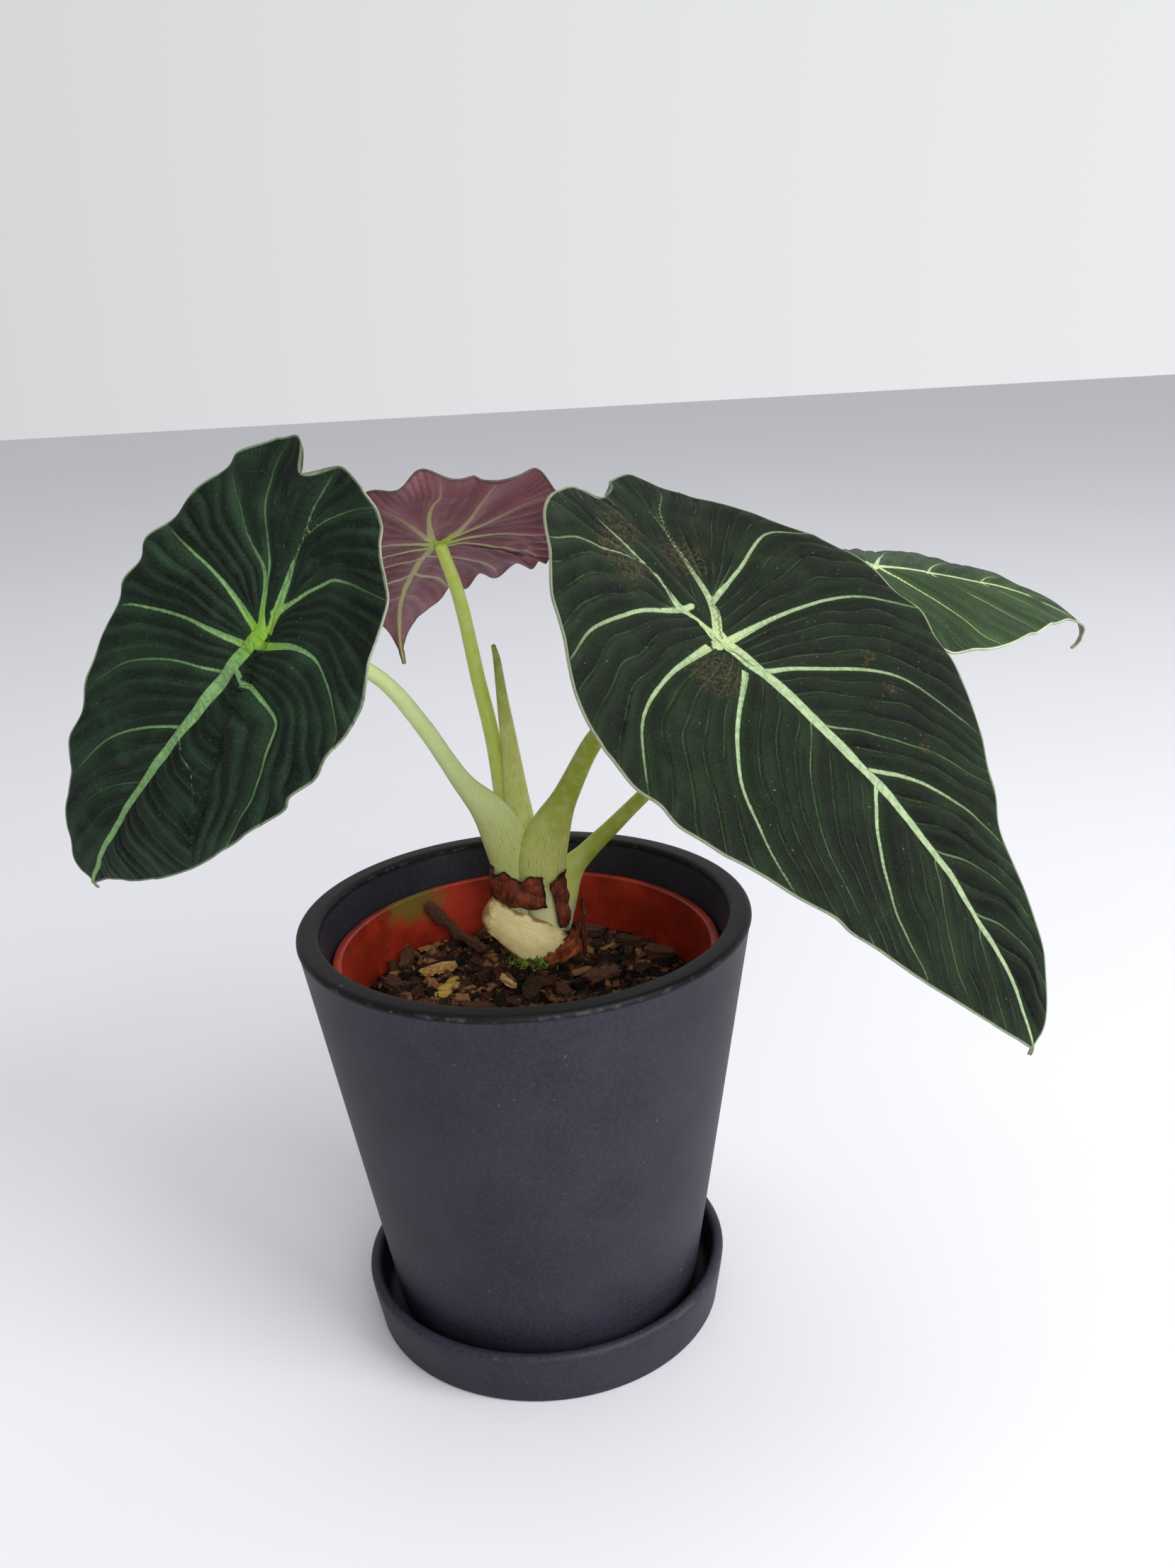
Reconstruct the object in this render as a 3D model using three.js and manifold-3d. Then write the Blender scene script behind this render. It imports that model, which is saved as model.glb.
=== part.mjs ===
// A potted alocasia: a matte ceramic planter on its saucer, a plastic nursery pot of bark mix inside it,
// and one plant with four open leaves, a furled new leaf and the dry husks of older ones round its crown.
// Millimetres, +Z up.  The origin is the middle of the saucer's underside; +X is to the right and +Y to
// the back.
import * as THREE from 'three';
import { mergeVertices } from 'three/addons/utils/BufferGeometryUtils.js';
import Module from 'manifold-3d';

const wasm = await Module();
wasm.setup();

// ---- Driving dimensions -----------------------------------------------------------------------------
const gap = 0.3; // clearance between pieces that touch

const planterRimRadius = 70;
const planterBaseRadius = 48.8;
const planterHeight = 132; // base to the top of the rim
const planterWall = 7;
const planterFloor = 6;
const rimRounding = 2.6;
const rimFlat = 0.4; // the level crest between the rim's two roundings
const edgeRounding = 1; // small corners of both pots

const saucerHeight = 18.3;
const saucerFloor = 4.8;
const saucerWall = 3.6;
const saucerRing = 3.8; // open ring between the planter's foot and the saucer's wall
const saucerFlare = 2.5; // the saucer widens this much from its base to its rim

const nurseryRimDrop = 11.2; // the nursery pot's rim lies this far below the planter's
const nurseryRimClearance = 1.4; // to the planter's inside, at the lip
const nurseryBaseClearance = 1.3; // to the planter's inside, at the base
const nurseryWall = 1.2;
const nurseryLipWidth = 1.6; // the lip stands this far out from the wall
const nurseryLipHeight = 4;
const nurseryLipRounding = 0.6;
const drainageHoleCount = 6;
const drainageHoleRadius = 4;

const soilDepth = 18; // from the nursery rim down to the potting mix
const soilMound = 2.5; // the mix rises this much round the plant
const soilMoundRadius = 22;

const crownX = 4; // where the plant stands in the pot
const crownY = 26;
const rhizomeRadius = 10.5;
const rhizomeAbove = 6; // stands this far out of the mix
const rhizomeBelow = 16;
const ovalDepth = 0.82; // the crown is narrower from front to back

const bladeThickness = 0.8;
const huskThickness = 0.8;

// ---- Sizes and heights that follow ------------------------------------------------------------------
const saucerBaseRadius = planterBaseRadius + saucerRing + saucerWall;
const planterZ = saucerFloor + gap;
const nurseryZ = planterZ + planterFloor + gap;
const nurseryTopZ = planterZ + planterHeight - nurseryRimDrop;
const nurseryHeight = nurseryTopZ - nurseryZ;
const soilZ = nurseryTopZ - soilDepth;
const crownZ = soilZ + soilMound + rhizomeAbove; // top of the rhizome, where the stalks start

// Outside radii at a height above each pot's own base; the nursery pot's lip stands out beyond its wall.
const saucerOuter = (z) => saucerBaseRadius + (saucerFlare * z) / saucerHeight;
const planterFlare = planterRimRadius - planterBaseRadius;
const planterOuter = (z) => planterBaseRadius + (planterFlare * z) / planterHeight;
const planterInner = (z) => planterOuter(z) - planterWall;
const nurseryRimRadius = planterInner(planterHeight - nurseryRimDrop) - nurseryRimClearance;
const nurseryBaseRadius = planterInner(nurseryZ - planterZ) - nurseryBaseClearance;
const nurseryOuter = (z) =>
  nurseryBaseRadius + ((nurseryRimRadius - nurseryLipWidth - nurseryBaseRadius) * z) / nurseryHeight;
const mixRadius = (z) => nurseryOuter(z - nurseryZ) - nurseryWall - gap;

// The litter's places are set out on a mix of the first radius, and the sheaths' round a rhizome of the
// second: both spread with what they stand on.
const litterSetOut = 54.1;
const sheathSetOut = 10.5;
const sheathFade = 60; // a thicker rhizome spreads the stalks less and less up to this height
const litterSpread = mixRadius(soilZ) / litterSetOut;
const sheathSpread = (height) =>
  1 + (rhizomeRadius / sheathSetOut - 1) * Math.max(0, 1 - height / sheathFade);

// ---- Finishes ---------------------------------------------------------------------------------------
const finish = (color, roughness, metalness = 0) =>
  new THREE.MeshStandardMaterial({ color, roughness, metalness });
const charcoal = finish(0x2b2c30, 0.55);
const redPlastic = finish(0x8a2f22, 0.5);
const barkMix = finish(0x2c211b, 0.95);
const bark = finish(0x4a342a, 0.9);
const paleWood = finish(0xb08a5a, 0.85);
const velvetGreen = finish(0x1f3325, 0.8);
const farGreen = finish(0x3f6b35, 0.65);
const stalkGreen = finish(0x9fb56a, 0.5);
const spikeGreen = finish(0x8fae55, 0.5);
const creamSheath = finish(0xd9c98d, 0.7);
const brownHusk = finish(0x5b2c1c, 0.8);
const rustHusk = finish(0x8a4a28, 0.8);
const mossGreen = finish(0x5c7a2c, 1);

// The crown group holds the plant, with its origin in the middle of the rhizome's top.
const plant = new THREE.Group();
const crown = new THREE.Group();
crown.position.set(crownX, crownY, crownZ);
plant.add(crown);

function add(name, geometry, material, group = plant, z = 0) {
  const mesh = new THREE.Mesh(geometry, material);
  mesh.name = name;
  mesh.position.z = z;
  group.add(mesh);
}

// ---- Solids -----------------------------------------------------------------------------------------
// Keeps only shared corner points, so that the surface is closed, and drops triangles of no area.
function closed(geometry) {
  const bare = geometry.clone();
  bare.deleteAttribute('normal');
  bare.deleteAttribute('uv');
  const merged = mergeVertices(bare, 1e-3);
  const corners = merged.index.array;
  const kept = [];
  for (let i = 0; i < corners.length; i += 3) {
    const [a, b, c] = [corners[i], corners[i + 1], corners[i + 2]];
    if (a !== b && b !== c && c !== a) kept.push(a, b, c);
  }
  merged.setIndex(kept);
  return merged;
}

function toSolid(geometry) {
  const merged = closed(geometry);
  const vertProperties = new Float32Array(merged.attributes.position.array);
  const triVerts = new Uint32Array(merged.index.array);
  return new wasm.Manifold(new wasm.Mesh({ numProp: 3, vertProperties, triVerts }));
}

function toGeometry(solid) {
  const mesh = solid.getMesh();
  const geometry = new THREE.BufferGeometry();
  const points = new Float32Array(mesh.numVert * 3);
  for (let i = 0; i < mesh.numVert; i += 1) {
    for (let k = 0; k < 3; k += 1) points[3 * i + k] = mesh.vertProperties[mesh.numProp * i + k];
  }
  geometry.setAttribute('position', new THREE.BufferAttribute(points, 3));
  geometry.setIndex(new THREE.BufferAttribute(new Uint32Array(mesh.triVerts), 1));
  return geometry;
}

const cutBy = (geometry, cutters) =>
  toGeometry(cutters.reduce((solid, cutter) => solid.subtract(toSolid(cutter)), toSolid(geometry)));

// Moves every vertex of a geometry to shape(x, y, z).
function reshape(geometry, shape) {
  const position = geometry.attributes.position;
  for (let i = 0; i < position.count; i += 1) {
    const p = shape(position.getX(i), position.getY(i), position.getZ(i));
    position.setXYZ(i, p.x, p.y, p.z);
  }
  return geometry;
}

// A body of revolution about +Z from [radius, height] pairs, listed from the axis up the outside.
function turned(profile, segments = 48) {
  const lathe = new THREE.LatheGeometry(profile.map(([r, z]) => new THREE.Vector2(r, z)), segments);
  return closed(lathe.rotateX(Math.PI / 2));
}

// A rounded stretch of a profile from one [radius, height] to another, drawn toward a third.
function rounded(start, toward, end, steps = 3) {
  const [a, b, c] = [start, toward, end].map(([r, z]) => new THREE.Vector2(r, z));
  return new THREE.QuadraticBezierCurve(a, b, c).getPoints(steps).map((p) => [p.x, p.y]);
}

// A fixed sequence of numbers between 0 and 1.
function sequence(seed) {
  let state = seed;
  return () => {
    state = (state * 16807) % 2147483647;
    return state / 2147483647;
  };
}

// ---- Pots -------------------------------------------------------------------------------------------
function saucer() {
  const shoulder = saucerHeight - edgeRounding;
  const outside = saucerOuter(shoulder);
  const inside = outside - saucerWall;
  const crest = [(outside + inside) / 2, saucerHeight + edgeRounding];
  return turned([
    [0, 0],
    [saucerBaseRadius - edgeRounding, 0],
    [saucerOuter(edgeRounding), edgeRounding],
    ...rounded([outside, shoulder], crest, [inside, shoulder]),
    [saucerOuter(saucerFloor + edgeRounding) - saucerWall, saucerFloor + edgeRounding],
    [saucerOuter(saucerFloor) - saucerWall - edgeRounding, saucerFloor],
    [0, saucerFloor],
  ]);
}

function planter() {
  const top = planterHeight;
  const shoulder = top - rimRounding;
  const crest = planterOuter(shoulder) - planterWall / 2;
  return turned([
    [0, 0],
    [planterBaseRadius - edgeRounding, 0],
    [planterOuter(edgeRounding), edgeRounding],
    ...rounded([planterOuter(shoulder), shoulder], [planterOuter(top), top], [crest, top]),
    ...rounded([crest - rimFlat, top], [planterInner(top), top], [planterInner(shoulder), shoulder]),
    [planterInner(planterFloor + edgeRounding), planterFloor + edgeRounding],
    [planterInner(planterFloor) - edgeRounding, planterFloor],
    [0, planterFloor],
  ]);
}

function nurseryPot() {
  const lipZ = nurseryHeight - nurseryLipHeight;
  const pot = turned([
    [0, 0],
    [nurseryBaseRadius, 0],
    [nurseryOuter(lipZ), lipZ],
    [nurseryRimRadius, lipZ],
    [nurseryRimRadius, nurseryHeight - nurseryLipRounding],
    [nurseryRimRadius - nurseryLipRounding, nurseryHeight],
    [nurseryOuter(nurseryHeight) - nurseryWall, nurseryHeight],
    [nurseryOuter(nurseryWall) - nurseryWall, nurseryWall],
    [0, nurseryWall],
  ]);
  return cutBy(pot, drainageHoles());
}

// The drainage holes, in a ring in the nursery pot's base.
function drainageHoles() {
  const ring = nurseryBaseRadius * 0.6;
  return Array.from({ length: drainageHoleCount }, (_, k) => {
    const angle = (k * 2 * Math.PI) / drainageHoleCount;
    const [x, y] = [Math.cos(angle) * ring, Math.sin(angle) * ring];
    const hole = new THREE.CylinderGeometry(drainageHoleRadius, drainageHoleRadius, nurseryWall * 3, 10);
    return hole.rotateX(Math.PI / 2).translate(x, y, nurseryWall / 2);
  });
}

// ---- Potting mix ------------------------------------------------------------------------------------
// Height of the mix at a place: gently uneven, and mounded round the plant.
function soilHeight(x, y) {
  const away = Math.hypot(x - crownX, y - crownY) / soilMoundRadius;
  const ripple = 0.5 * Math.sin(x * 0.21 + 1) * Math.cos(y * 0.17);
  return soilZ + ripple + soilMound * Math.exp(-away * away * 2);
}

function pottingMix() {
  const bottom = nurseryZ + nurseryWall + gap;
  const top = mixRadius(soilZ);
  const rings = [0.9, 0.78, 0.66, 0.54, 0.42, 0.28, 0.14]; // shares of the radius
  const surface = rings.map((share) => [top * share, soilZ]);
  const mix = turned([[0, bottom], [mixRadius(bottom), bottom], [top, soilZ], ...surface, [0, soilZ]]);
  const raised = reshape(mix, (x, y, z) => new THREE.Vector3(x, y, z < bottom + 1 ? z : soilHeight(x, y)));
  return cutBy(raised, [rhizome(gap).translate(crownX, crownY, crownZ)]);
}

// The short thick stem that the stalks spring from, rooted in the mix.
function rhizome(grow = 0) {
  const base = -rhizomeAbove - soilMound - rhizomeBelow;
  const r = rhizomeRadius + grow;
  const sides = 16;
  return turned([
    [0, base - grow],
    [r * 0.5, base - grow],
    [r * 0.9, base + 6],
    [r, -7],
    [r * 0.97, -2],
    [r * 0.9, 0],
    [0, 0],
  ], sides).scale(1, ovalDepth, 1);
}

// ---- Leaf blades ------------------------------------------------------------------------------------
// at: where the stalk joins, from the crown, heading: compass of the tip from +X toward +Y, dip: tip below
// level, roll: about the midrib.  arch bends the tip half down, lobeArch lifts the lobes, sweep turns the
// midrib sideways and twist winds it (degrees over the tip half).  fold lifts each side at [lobes, stalk,
// tip], curl rolls its margin down.  outline: [across, along] from the tip down each side, and the base.
const leaves = {
  left: {
    at: [-69.4, -55.8, 118.2], heading: 162.4, dip: 44.1, roll: -65.9, length: 118, halfWidth: 43,
    arch: 28.5, lobeArch: 19.7, sweep: 6.1, twist: 12.8,
    foldRight: [6, 5, 10], foldLeft: [11, 6, 3], curlRight: 7, curlLeft: 3,
    outline: {
      right: [[1.5, 117], [9, 110], [19, 90], [29, 62], [38, 38], [45, 14], [45, -6], [42, -22], [35, -38]],
      base: [[35, -38], [27, -45], [19, -40], [11, -50], [-4, -53], [-20, -49], [-33, -38]],
      left: [
        [-1.5, 117], [-7, 108], [-19, 88], [-29, 67], [-35, 48], [-41, 24], [-43, 2], [-41, -20],
        [-33, -38],
      ],
    },
  },
  right: {
    at: [53.6, -59.9, 111.5], heading: -24.1, dip: 39.2, roll: 14.3, length: 147, halfWidth: 59,
    arch: 36, lobeArch: 34.5, sweep: 0.5, twist: -16.6,
    foldRight: [20, -2, -1], foldLeft: [-9, 11, -1], curlRight: 9, curlLeft: 4,
    outline: {
      right: [
        [1.5, 147], [14, 131], [29, 105], [38, 85], [50, 52], [58, 34], [61, 10], [59, -15], [53, -32],
        [45, -46],
      ],
      base: [[45, -46], [36, -54], [22, -56], [4, -55], [-10, -49], [-24, -52], [-38, -49], [-50, -38]],
      left: [
        [-1.5, 147], [-8, 142], [-17, 124], [-24, 98], [-33, 83], [-43, 72], [-57, 49], [-62, 26], [-59, 2],
        [-56, -18], [-50, -38],
      ],
    },
  },
  back: {
    at: [-21.4, -15.1, 134.3], heading: 108, dip: 18.7, roll: -1.2, length: 107, halfWidth: 40,
    arch: 21.7, lobeArch: 41.5, sweep: 10.6, twist: 1.9,
    foldRight: [1, -2, 5], foldLeft: [6, 0, 5], curlRight: 18, curlLeft: 14,
    outline: {
      right: [[1.5, 103], [9, 92], [18, 72], [28, 58], [36, 44], [40, 20], [39, -5], [34, -25], [26, -38]],
      base: [[26, -38], [14, -47], [2, -45], [-10, -49], [-22, -45], [-31, -37]],
      left: [[-1.5, 103], [-5, 96], [-14, 84], [-27, 62], [-36, 36], [-41, 10], [-39, -14], [-31, -37]],
    },
  },
  far: {
    at: [104.6, 10.5, 115.5], heading: 17.1, dip: 9.6, roll: 14.8, length: 103, halfWidth: 39,
    arch: 23.4, lobeArch: 0, sweep: -1.2, twist: -2.7,
    foldRight: [2, -6, 1], foldLeft: [2, -8, 3], curlRight: 21, curlLeft: 22,
    outline: {
      right: [[1.5, 101], [8, 90], [17, 76], [27, 60], [35, 45], [40, 26], [40, 4], [37, -14], [28, -32]],
      base: [[28, -32], [15, -41], [0, -33], [-15, -41], [-28, -32]],
      left: [
        [-1.5, 101], [-6, 94], [-15, 83], [-25, 66], [-33, 47], [-39, 26], [-40, 4], [-37, -14], [-28, -32],
      ],
    },
  },
};

const radians = THREE.MathUtils.degToRad;

// The midrib of a leaf as a table of points and directions, walked out from the stalk both ways.
function midrib(leaf) {
  const heading = radians(leaf.heading);
  const dip = radians(leaf.dip);
  const level = new THREE.Vector3(Math.cos(heading), Math.sin(heading), 0);
  const along = level.clone().multiplyScalar(Math.cos(dip)).setZ(-Math.sin(dip));
  const across = new THREE.Vector3(level.y, -level.x, 0).applyAxisAngle(along, radians(leaf.roll));
  const up = new THREE.Vector3().crossVectors(across, along);
  const step = leaf.length / 80;
  const direction = (s) => {
    const t = s / leaf.length;
    const bend = radians(t > 0 ? leaf.arch * t ** 1.5 : -leaf.lobeArch * t);
    const turn = radians(t > 0 ? leaf.sweep * t ** 1.3 : 0);
    return along.clone().multiplyScalar(Math.cos(bend) * Math.cos(turn))
      .addScaledVector(across, Math.cos(bend) * Math.sin(turn)).addScaledVector(up, -Math.sin(bend));
  };
  const walk = (s) => {
    const point = new THREE.Vector3(...leaf.at);
    const steps = Math.max(1, Math.ceil(Math.abs(s) / step));
    for (let i = 0; i < steps; i += 1) point.addScaledVector(direction((s * (i + 0.5)) / steps), s / steps);
    return point;
  };
  return { across, direction, walk };
}

// The point and normal of a leaf's surface at (v across, s along).
function leafSurface(leaf, v, s) {
  const rib = leaf.rib ?? (leaf.rib = midrib(leaf));
  const t = s / leaf.length;
  const along = rib.direction(s);
  const across = rib.across.clone().addScaledVector(along, -rib.across.dot(along)).normalize();
  const up = new THREE.Vector3().crossVectors(across, along);
  const wound = radians(leaf.twist * t);
  const side = across.clone().multiplyScalar(Math.cos(wound)).addScaledVector(up, Math.sin(wound));
  const lift = across.clone().multiplyScalar(-Math.sin(wound)).addScaledVector(up, Math.cos(wound));
  const [lobe, stalk, tip] = v >= 0 ? leaf.foldRight : leaf.foldLeft;
  const lobeShare = Math.min(-t / 0.4, 1.2); // the lobes reach back about 0.4 of the length
  const fold = t >= 0 ? stalk + (tip - stalk) * Math.min(t, 1) : stalk + (lobe - stalk) * lobeShare;
  const curl = v >= 0 ? leaf.curlRight : leaf.curlLeft;
  const middle = radians(fold - (curl * Math.abs(v)) / leaf.halfWidth / 2);
  const edge = radians(fold - (curl * Math.abs(v)) / leaf.halfWidth);
  const point = rib.walk(s).addScaledVector(side, v * Math.cos(middle))
    .addScaledVector(lift, Math.abs(v) * Math.sin(middle));
  const normal = lift.clone().multiplyScalar(Math.cos(edge))
    .addScaledVector(side, -Math.sign(v) * Math.sin(edge));
  return { point, normal };
}

const spline = (points) => new THREE.SplineCurve(points.map(([v, s]) => new THREE.Vector2(v, s)));

// Fills a leaf's outline: a runs from the left side to the right, b from the tip to the base.
function leafPatch(leaf) {
  const right = spline(leaf.outline.right);
  const left = spline(leaf.outline.left);
  const base = spline([...leaf.outline.base].reverse());
  const tipRight = right.getPoint(0);
  const tipLeft = left.getPoint(0);
  const lobeRight = right.getPoint(1);
  const lobeLeft = left.getPoint(1);
  return (a, b) => {
    const sides = left.getPoint(b).multiplyScalar(1 - a).addScaledVector(right.getPoint(b), a);
    const tip = tipLeft.clone().lerp(tipRight, a);
    const ends = tip.clone().multiplyScalar(1 - b).addScaledVector(base.getPoint(a), b);
    const corners = tip.multiplyScalar(1 - b).addScaledVector(lobeLeft.clone().lerp(lobeRight, a), b);
    return sides.add(ends).sub(corners);
  };
}

// A leaf blade as a sheet that reaches `below` under its middle surface and `above` over it.
function blade(leaf, below = bladeThickness / 2, above = bladeThickness / 2) {
  const patch = leafPatch(leaf);
  return reshape(new THREE.BoxGeometry(1, 1, 1, 10, 15, 1), (x, y, z) => {
    const flat = patch(x + 0.5, 0.5 - y);
    const { point, normal } = leafSurface(leaf, flat.x, flat.y);
    return point.addScaledVector(normal, z > 0 ? above : -below);
  });
}

// ---- Stalks -----------------------------------------------------------------------------------------
// Each stalk: [x, y, z, half width, half depth] from the crown outward.  Its foot is a broad flat sheath.
const stalks = {
  right: [
    [3.5, -2.5, gap, 4.6, 4.2], [3.4, -2.4, 13.6, 6.2, 4.6], [2.8, -2.6, 25.6, 7, 4.8],
    [5.6, -4, 38.1, 5.8, 4.4], [11.6, -8, 51, 4, 3.8], [22.2, -18, 73.1, 2.9, 2.9],
    [38, -40, 94.1, 2.4, 2.4], [53.6, -59.9, 111.5, 2.2, 2.2],
  ],
  left: [
    [-4.5, 1, gap, 4.8, 4.2], [-6.6, 1.6, 13.6, 5.4, 4.4], [-7.6, 1.5, 24.6, 5.6, 4.4],
    [-10, -0.5, 34.6, 5.6, 4.4], [-14, -4, 47, 4.6, 4], [-20.8, -10, 58.9, 3.2, 3.2],
    [-29.4, -22, 79.1, 2.6, 2.6], [-39.6, -34, 98, 2.3, 2.3], [-54, -45.5, 110.6, 2.1, 2.1],
    [-69.4, -55.8, 118.2, 2, 2],
  ],
  new: [
    [-0.6, 6, gap, 3.6, 3.4], [-1.4, 6.2, 18.6, 4, 3.8], [-2.8, 5.8, 35.6, 4.4, 3.8],
    [-4, 5.4, 47.6, 4, 3.4], [-4.9, 5, 62.1, 2.9, 2.7], [-6.3, 4, 80.6, 1.8, 1.8],
    [-7.1, 3.2, 92.6, 1.2, 1.2], [-7.9, 2.8, 97.6, 0.7, 0.7],
  ],
  far: [
    [7.5, 4, gap, 3.6, 3.4], [9.4, 3.6, 10.6, 4.2, 3.6], [11.9, 3.6, 20.6, 4.4, 3.6],
    [18.2, 4.6, 26.9, 3.2, 3], [28, 6, 35.4, 2.6, 2.6], [37.9, 8, 43.8, 2.4, 2.4], [62, 11, 64.6, 2.2, 2.2],
    [86, 12, 89.6, 2, 2], [104.6, 10.5, 115.5, 1.9, 1.9],
  ],
  back: [
    [-6, 5.5, gap, 3.2, 3], [-7.6, 8, 18.6, 3.4, 3.2], [-8, 9.6, 35.6, 3.2, 3], [-8.8, 8.6, 50.8, 2.8, 2.8],
    [-10.3, 7.2, 66.8, 2.5, 2.5], [-13.3, 5, 86.2, 2.3, 2.3], [-16.8, 0, 112.2, 2.1, 2.1],
    [-21.4, -15.1, 134.3, 1.9, 1.9],
  ],
};
const stalkSides = 10;
const front = new THREE.Vector3(0, -1, 0);

// A round or oval rod through the points of a list.
function rod(list, grow = 0) {
  const spine = new THREE.CatmullRomCurve3(list.map(([x, y, z]) => new THREE.Vector3(x, y, z)));
  const spans = list.length - 1;
  const size = (t, k) => {
    const i = Math.min(Math.floor(t * spans), spans - 1);
    return THREE.MathUtils.lerp(list[i][k], list[i + 1][k], t * spans - i) + grow;
  };
  const tube = new THREE.CylinderGeometry(1, 1, 1, stalkSides, spans * 2);
  return reshape(tube, (x, y, z) => {
    const t = 0.5 - y;
    const tangent = t === 0 ? new THREE.Vector3(0, 0, 1) : spine.getTangent(t);
    const side = new THREE.Vector3().crossVectors(front, tangent).normalize();
    const face = new THREE.Vector3().crossVectors(tangent, side);
    return spine.getPoint(t).addScaledVector(side, z * size(t, 3)).addScaledVector(face, -x * size(t, 4));
  });
}

function stalk(name, grow = 0) {
  const spread = stalks[name].map(([x, y, z, ...half]) => {
    const out = sheathSpread(z);
    return [x * out, y * out, z, ...half.map((size) => size * out)];
  });
  return rod(spread, grow);
}

// ---- Husks and sheaths round the crown --------------------------------------------------------------
// A curved sheet on an oval round the crown.  from and to are its end angles [at the foot, at the head] in
// degrees from +X; low and high are its lower and upper edge at [from, middle, to], from the rhizome's top;
// radius is its inner radius at [from, to].
function wrap({ from, to, low, high, radius, flare = 0, thickness = huskThickness }, steps = 10) {
  const three = ([a, b, c], t) => (t < 0.5 ? a + (b - a) * t * 2 : b + (c - b) * (t * 2 - 1));
  return closed(reshape(new THREE.BoxGeometry(1, 1, 1, steps, 4, 1), (x, y, z) => {
    const t = x + 0.5;
    const h = y + 0.5;
    const start = from[0] + (from[1] - from[0]) * h;
    const angle = radians(start + (to[0] + (to[1] - to[0]) * h - start) * t);
    const height = three(low, t) + (three(high, t) - three(low, t)) * h;
    const pushedOut = (sheathSpread(height) - 1) * sheathSetOut;
    const inner = radius[0] + (radius[1] - radius[0]) * t + flare * h + pushedOut;
    const r = inner + (z > 0 ? thickness : 0);
    return new THREE.Vector3(Math.cos(angle) * r, Math.sin(angle) * r * ovalDepth, height);
  }));
}

const footing = -rhizomeAbove - 0.9; // the dry strips stand this deep beside the rhizome, in the mound
const husks = {
  peeled_sheath: [creamSheath, {
    from: [192, 188], to: [318, 325], low: [4, -4, 0], high: [14, 12, 4], radius: [14.6, 11.2], flare: 0.8,
  }],
  husk_base: [rustHusk, {
    from: [282, 300], to: [352, 356], low: [-5, -5.5, -5.5], high: [-2, 3, 6], radius: [13.3, 13.6],
  }],
  husk_collar: [brownHusk, {
    from: [186, 184], to: [287, 284], low: [16, 14, 13], high: [27, 24, 23], radius: [13.6, 10.6],
  }],
  husk_flap: [brownHusk, {
    from: [302, 290], to: [322, 316], low: [6.4, 5.6, 7], high: [22, 24, 26], radius: [13.4, 13.4],
  }],
  husk_strip_1: [brownHusk, {
    from: [336, 338], to: [343, 345], low: [footing, footing, footing], high: [13, 14, 13],
    radius: [15.4, 15.4],
  }],
  husk_strip_2: [rustHusk, {
    from: [350, 352], to: [357, 359], low: [footing, footing, footing], high: [9, 10, 9],
    radius: [15.6, 15.6],
  }],
  moss: [mossGreen, {
    from: [246, 248], to: [272, 270], low: [-6, -6, -6], high: [-4.5, -4.5, -4.6], radius: [11, 11],
    thickness: 2,
  }],
};

// ---- Litter on the mix ------------------------------------------------------------------------------
// [x, y, turn in degrees, length, width, thickness] of each piece that lies on the mix.
const barkChips = [
  [0.5, -3, 80, 16, 8, 3], [11, -3, 105, 11, 7, 2.5], [24, 5, 20, 13, 9, 2.5], [35, 31, 150, 12, 6, 2.2],
  [43, 20, -30, 12, 6, 2], [37, 8, 60, 9, 6, 2.4], [-43, 12, 120, 12, 7, 2.2], [-40, 28, 80, 13, 6, 3],
  [-39, -8, 30, 11, 6, 2], [-16, -8, 160, 13, 5, 2], [-14, 12, 60, 9, 5, 2], [22, 41, 150, 11, 6, 2.4],
  [-12, 46, 35, 11, 6, 2.4], [-22, -32, 15, 14, 7, 2.6], [14, -30, 140, 13, 8, 2.4],
  [36, -20, 75, 12, 7, 2.6],
];
const litter = {
  leaf_flake: [paleWood, [-25.5, 6, 66, 20, 7.5, 1.4]],
  wood_chunk: [paleWood, [-28.5, 19.5, 20, 11, 5, 2.6]],
  wood_splinter_1: [paleWood, [-6.5, 7.5, 118, 9, 2.6, 1.4]],
  wood_splinter_2: [paleWood, [-31, 37.5, 8, 9, 2.4, 1.2]],
};

function chip([x0, y0, turn, length, width, thickness], seed) {
  const next = sequence(seed);
  const lift = 2 * gap; // clear of the uneven mix
  const skew = [0, 1, 2, 3, 4, 5].map(() => 0.72 + 0.5 * next());
  const turned = radians(turn);
  return closed(reshape(new THREE.BoxGeometry(1, 1, 1, 2, 1, 1), (x, y, z) => {
    const corner = Math.round((x + 0.5) * 2) * 2 + Math.round(y + 0.5);
    const along = x * length * (y > 0 ? 1 : 0.85);
    const across = y * width * skew[corner] * (x === 0 ? 1 : 0.7);
    const px = x0 * litterSpread + along * Math.cos(turned) - across * Math.sin(turned);
    const py = y0 * litterSpread + along * Math.sin(turned) + across * Math.cos(turned);
    return new THREE.Vector3(px, py, soilHeight(px, py) + lift + (z > 0 ? thickness * skew[corner] : 0));
  }));
}

// A twig that leans from the mix against the nursery pot's wall.
function twig() {
  const [footX, footY] = [-14 * litterSpread, 30 * litterSpread];
  const [kneeX, kneeY] = [-22 * litterSpread, 36 * litterSpread];
  const [wallX, wallY] = [-0.6, 0.79]; // the way it leans
  const reach = nurseryOuter(nurseryHeight) - nurseryWall - 1.9;
  return rod([
    [footX, footY, soilHeight(footX, footY) + 1.5, 1.1, 1],
    [kneeX, kneeY, soilZ + 7, 1.3, 1.2],
    [wallX * reach, wallY * reach, nurseryTopZ - 4, 1.7, 1.5],
  ]);
}

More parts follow.
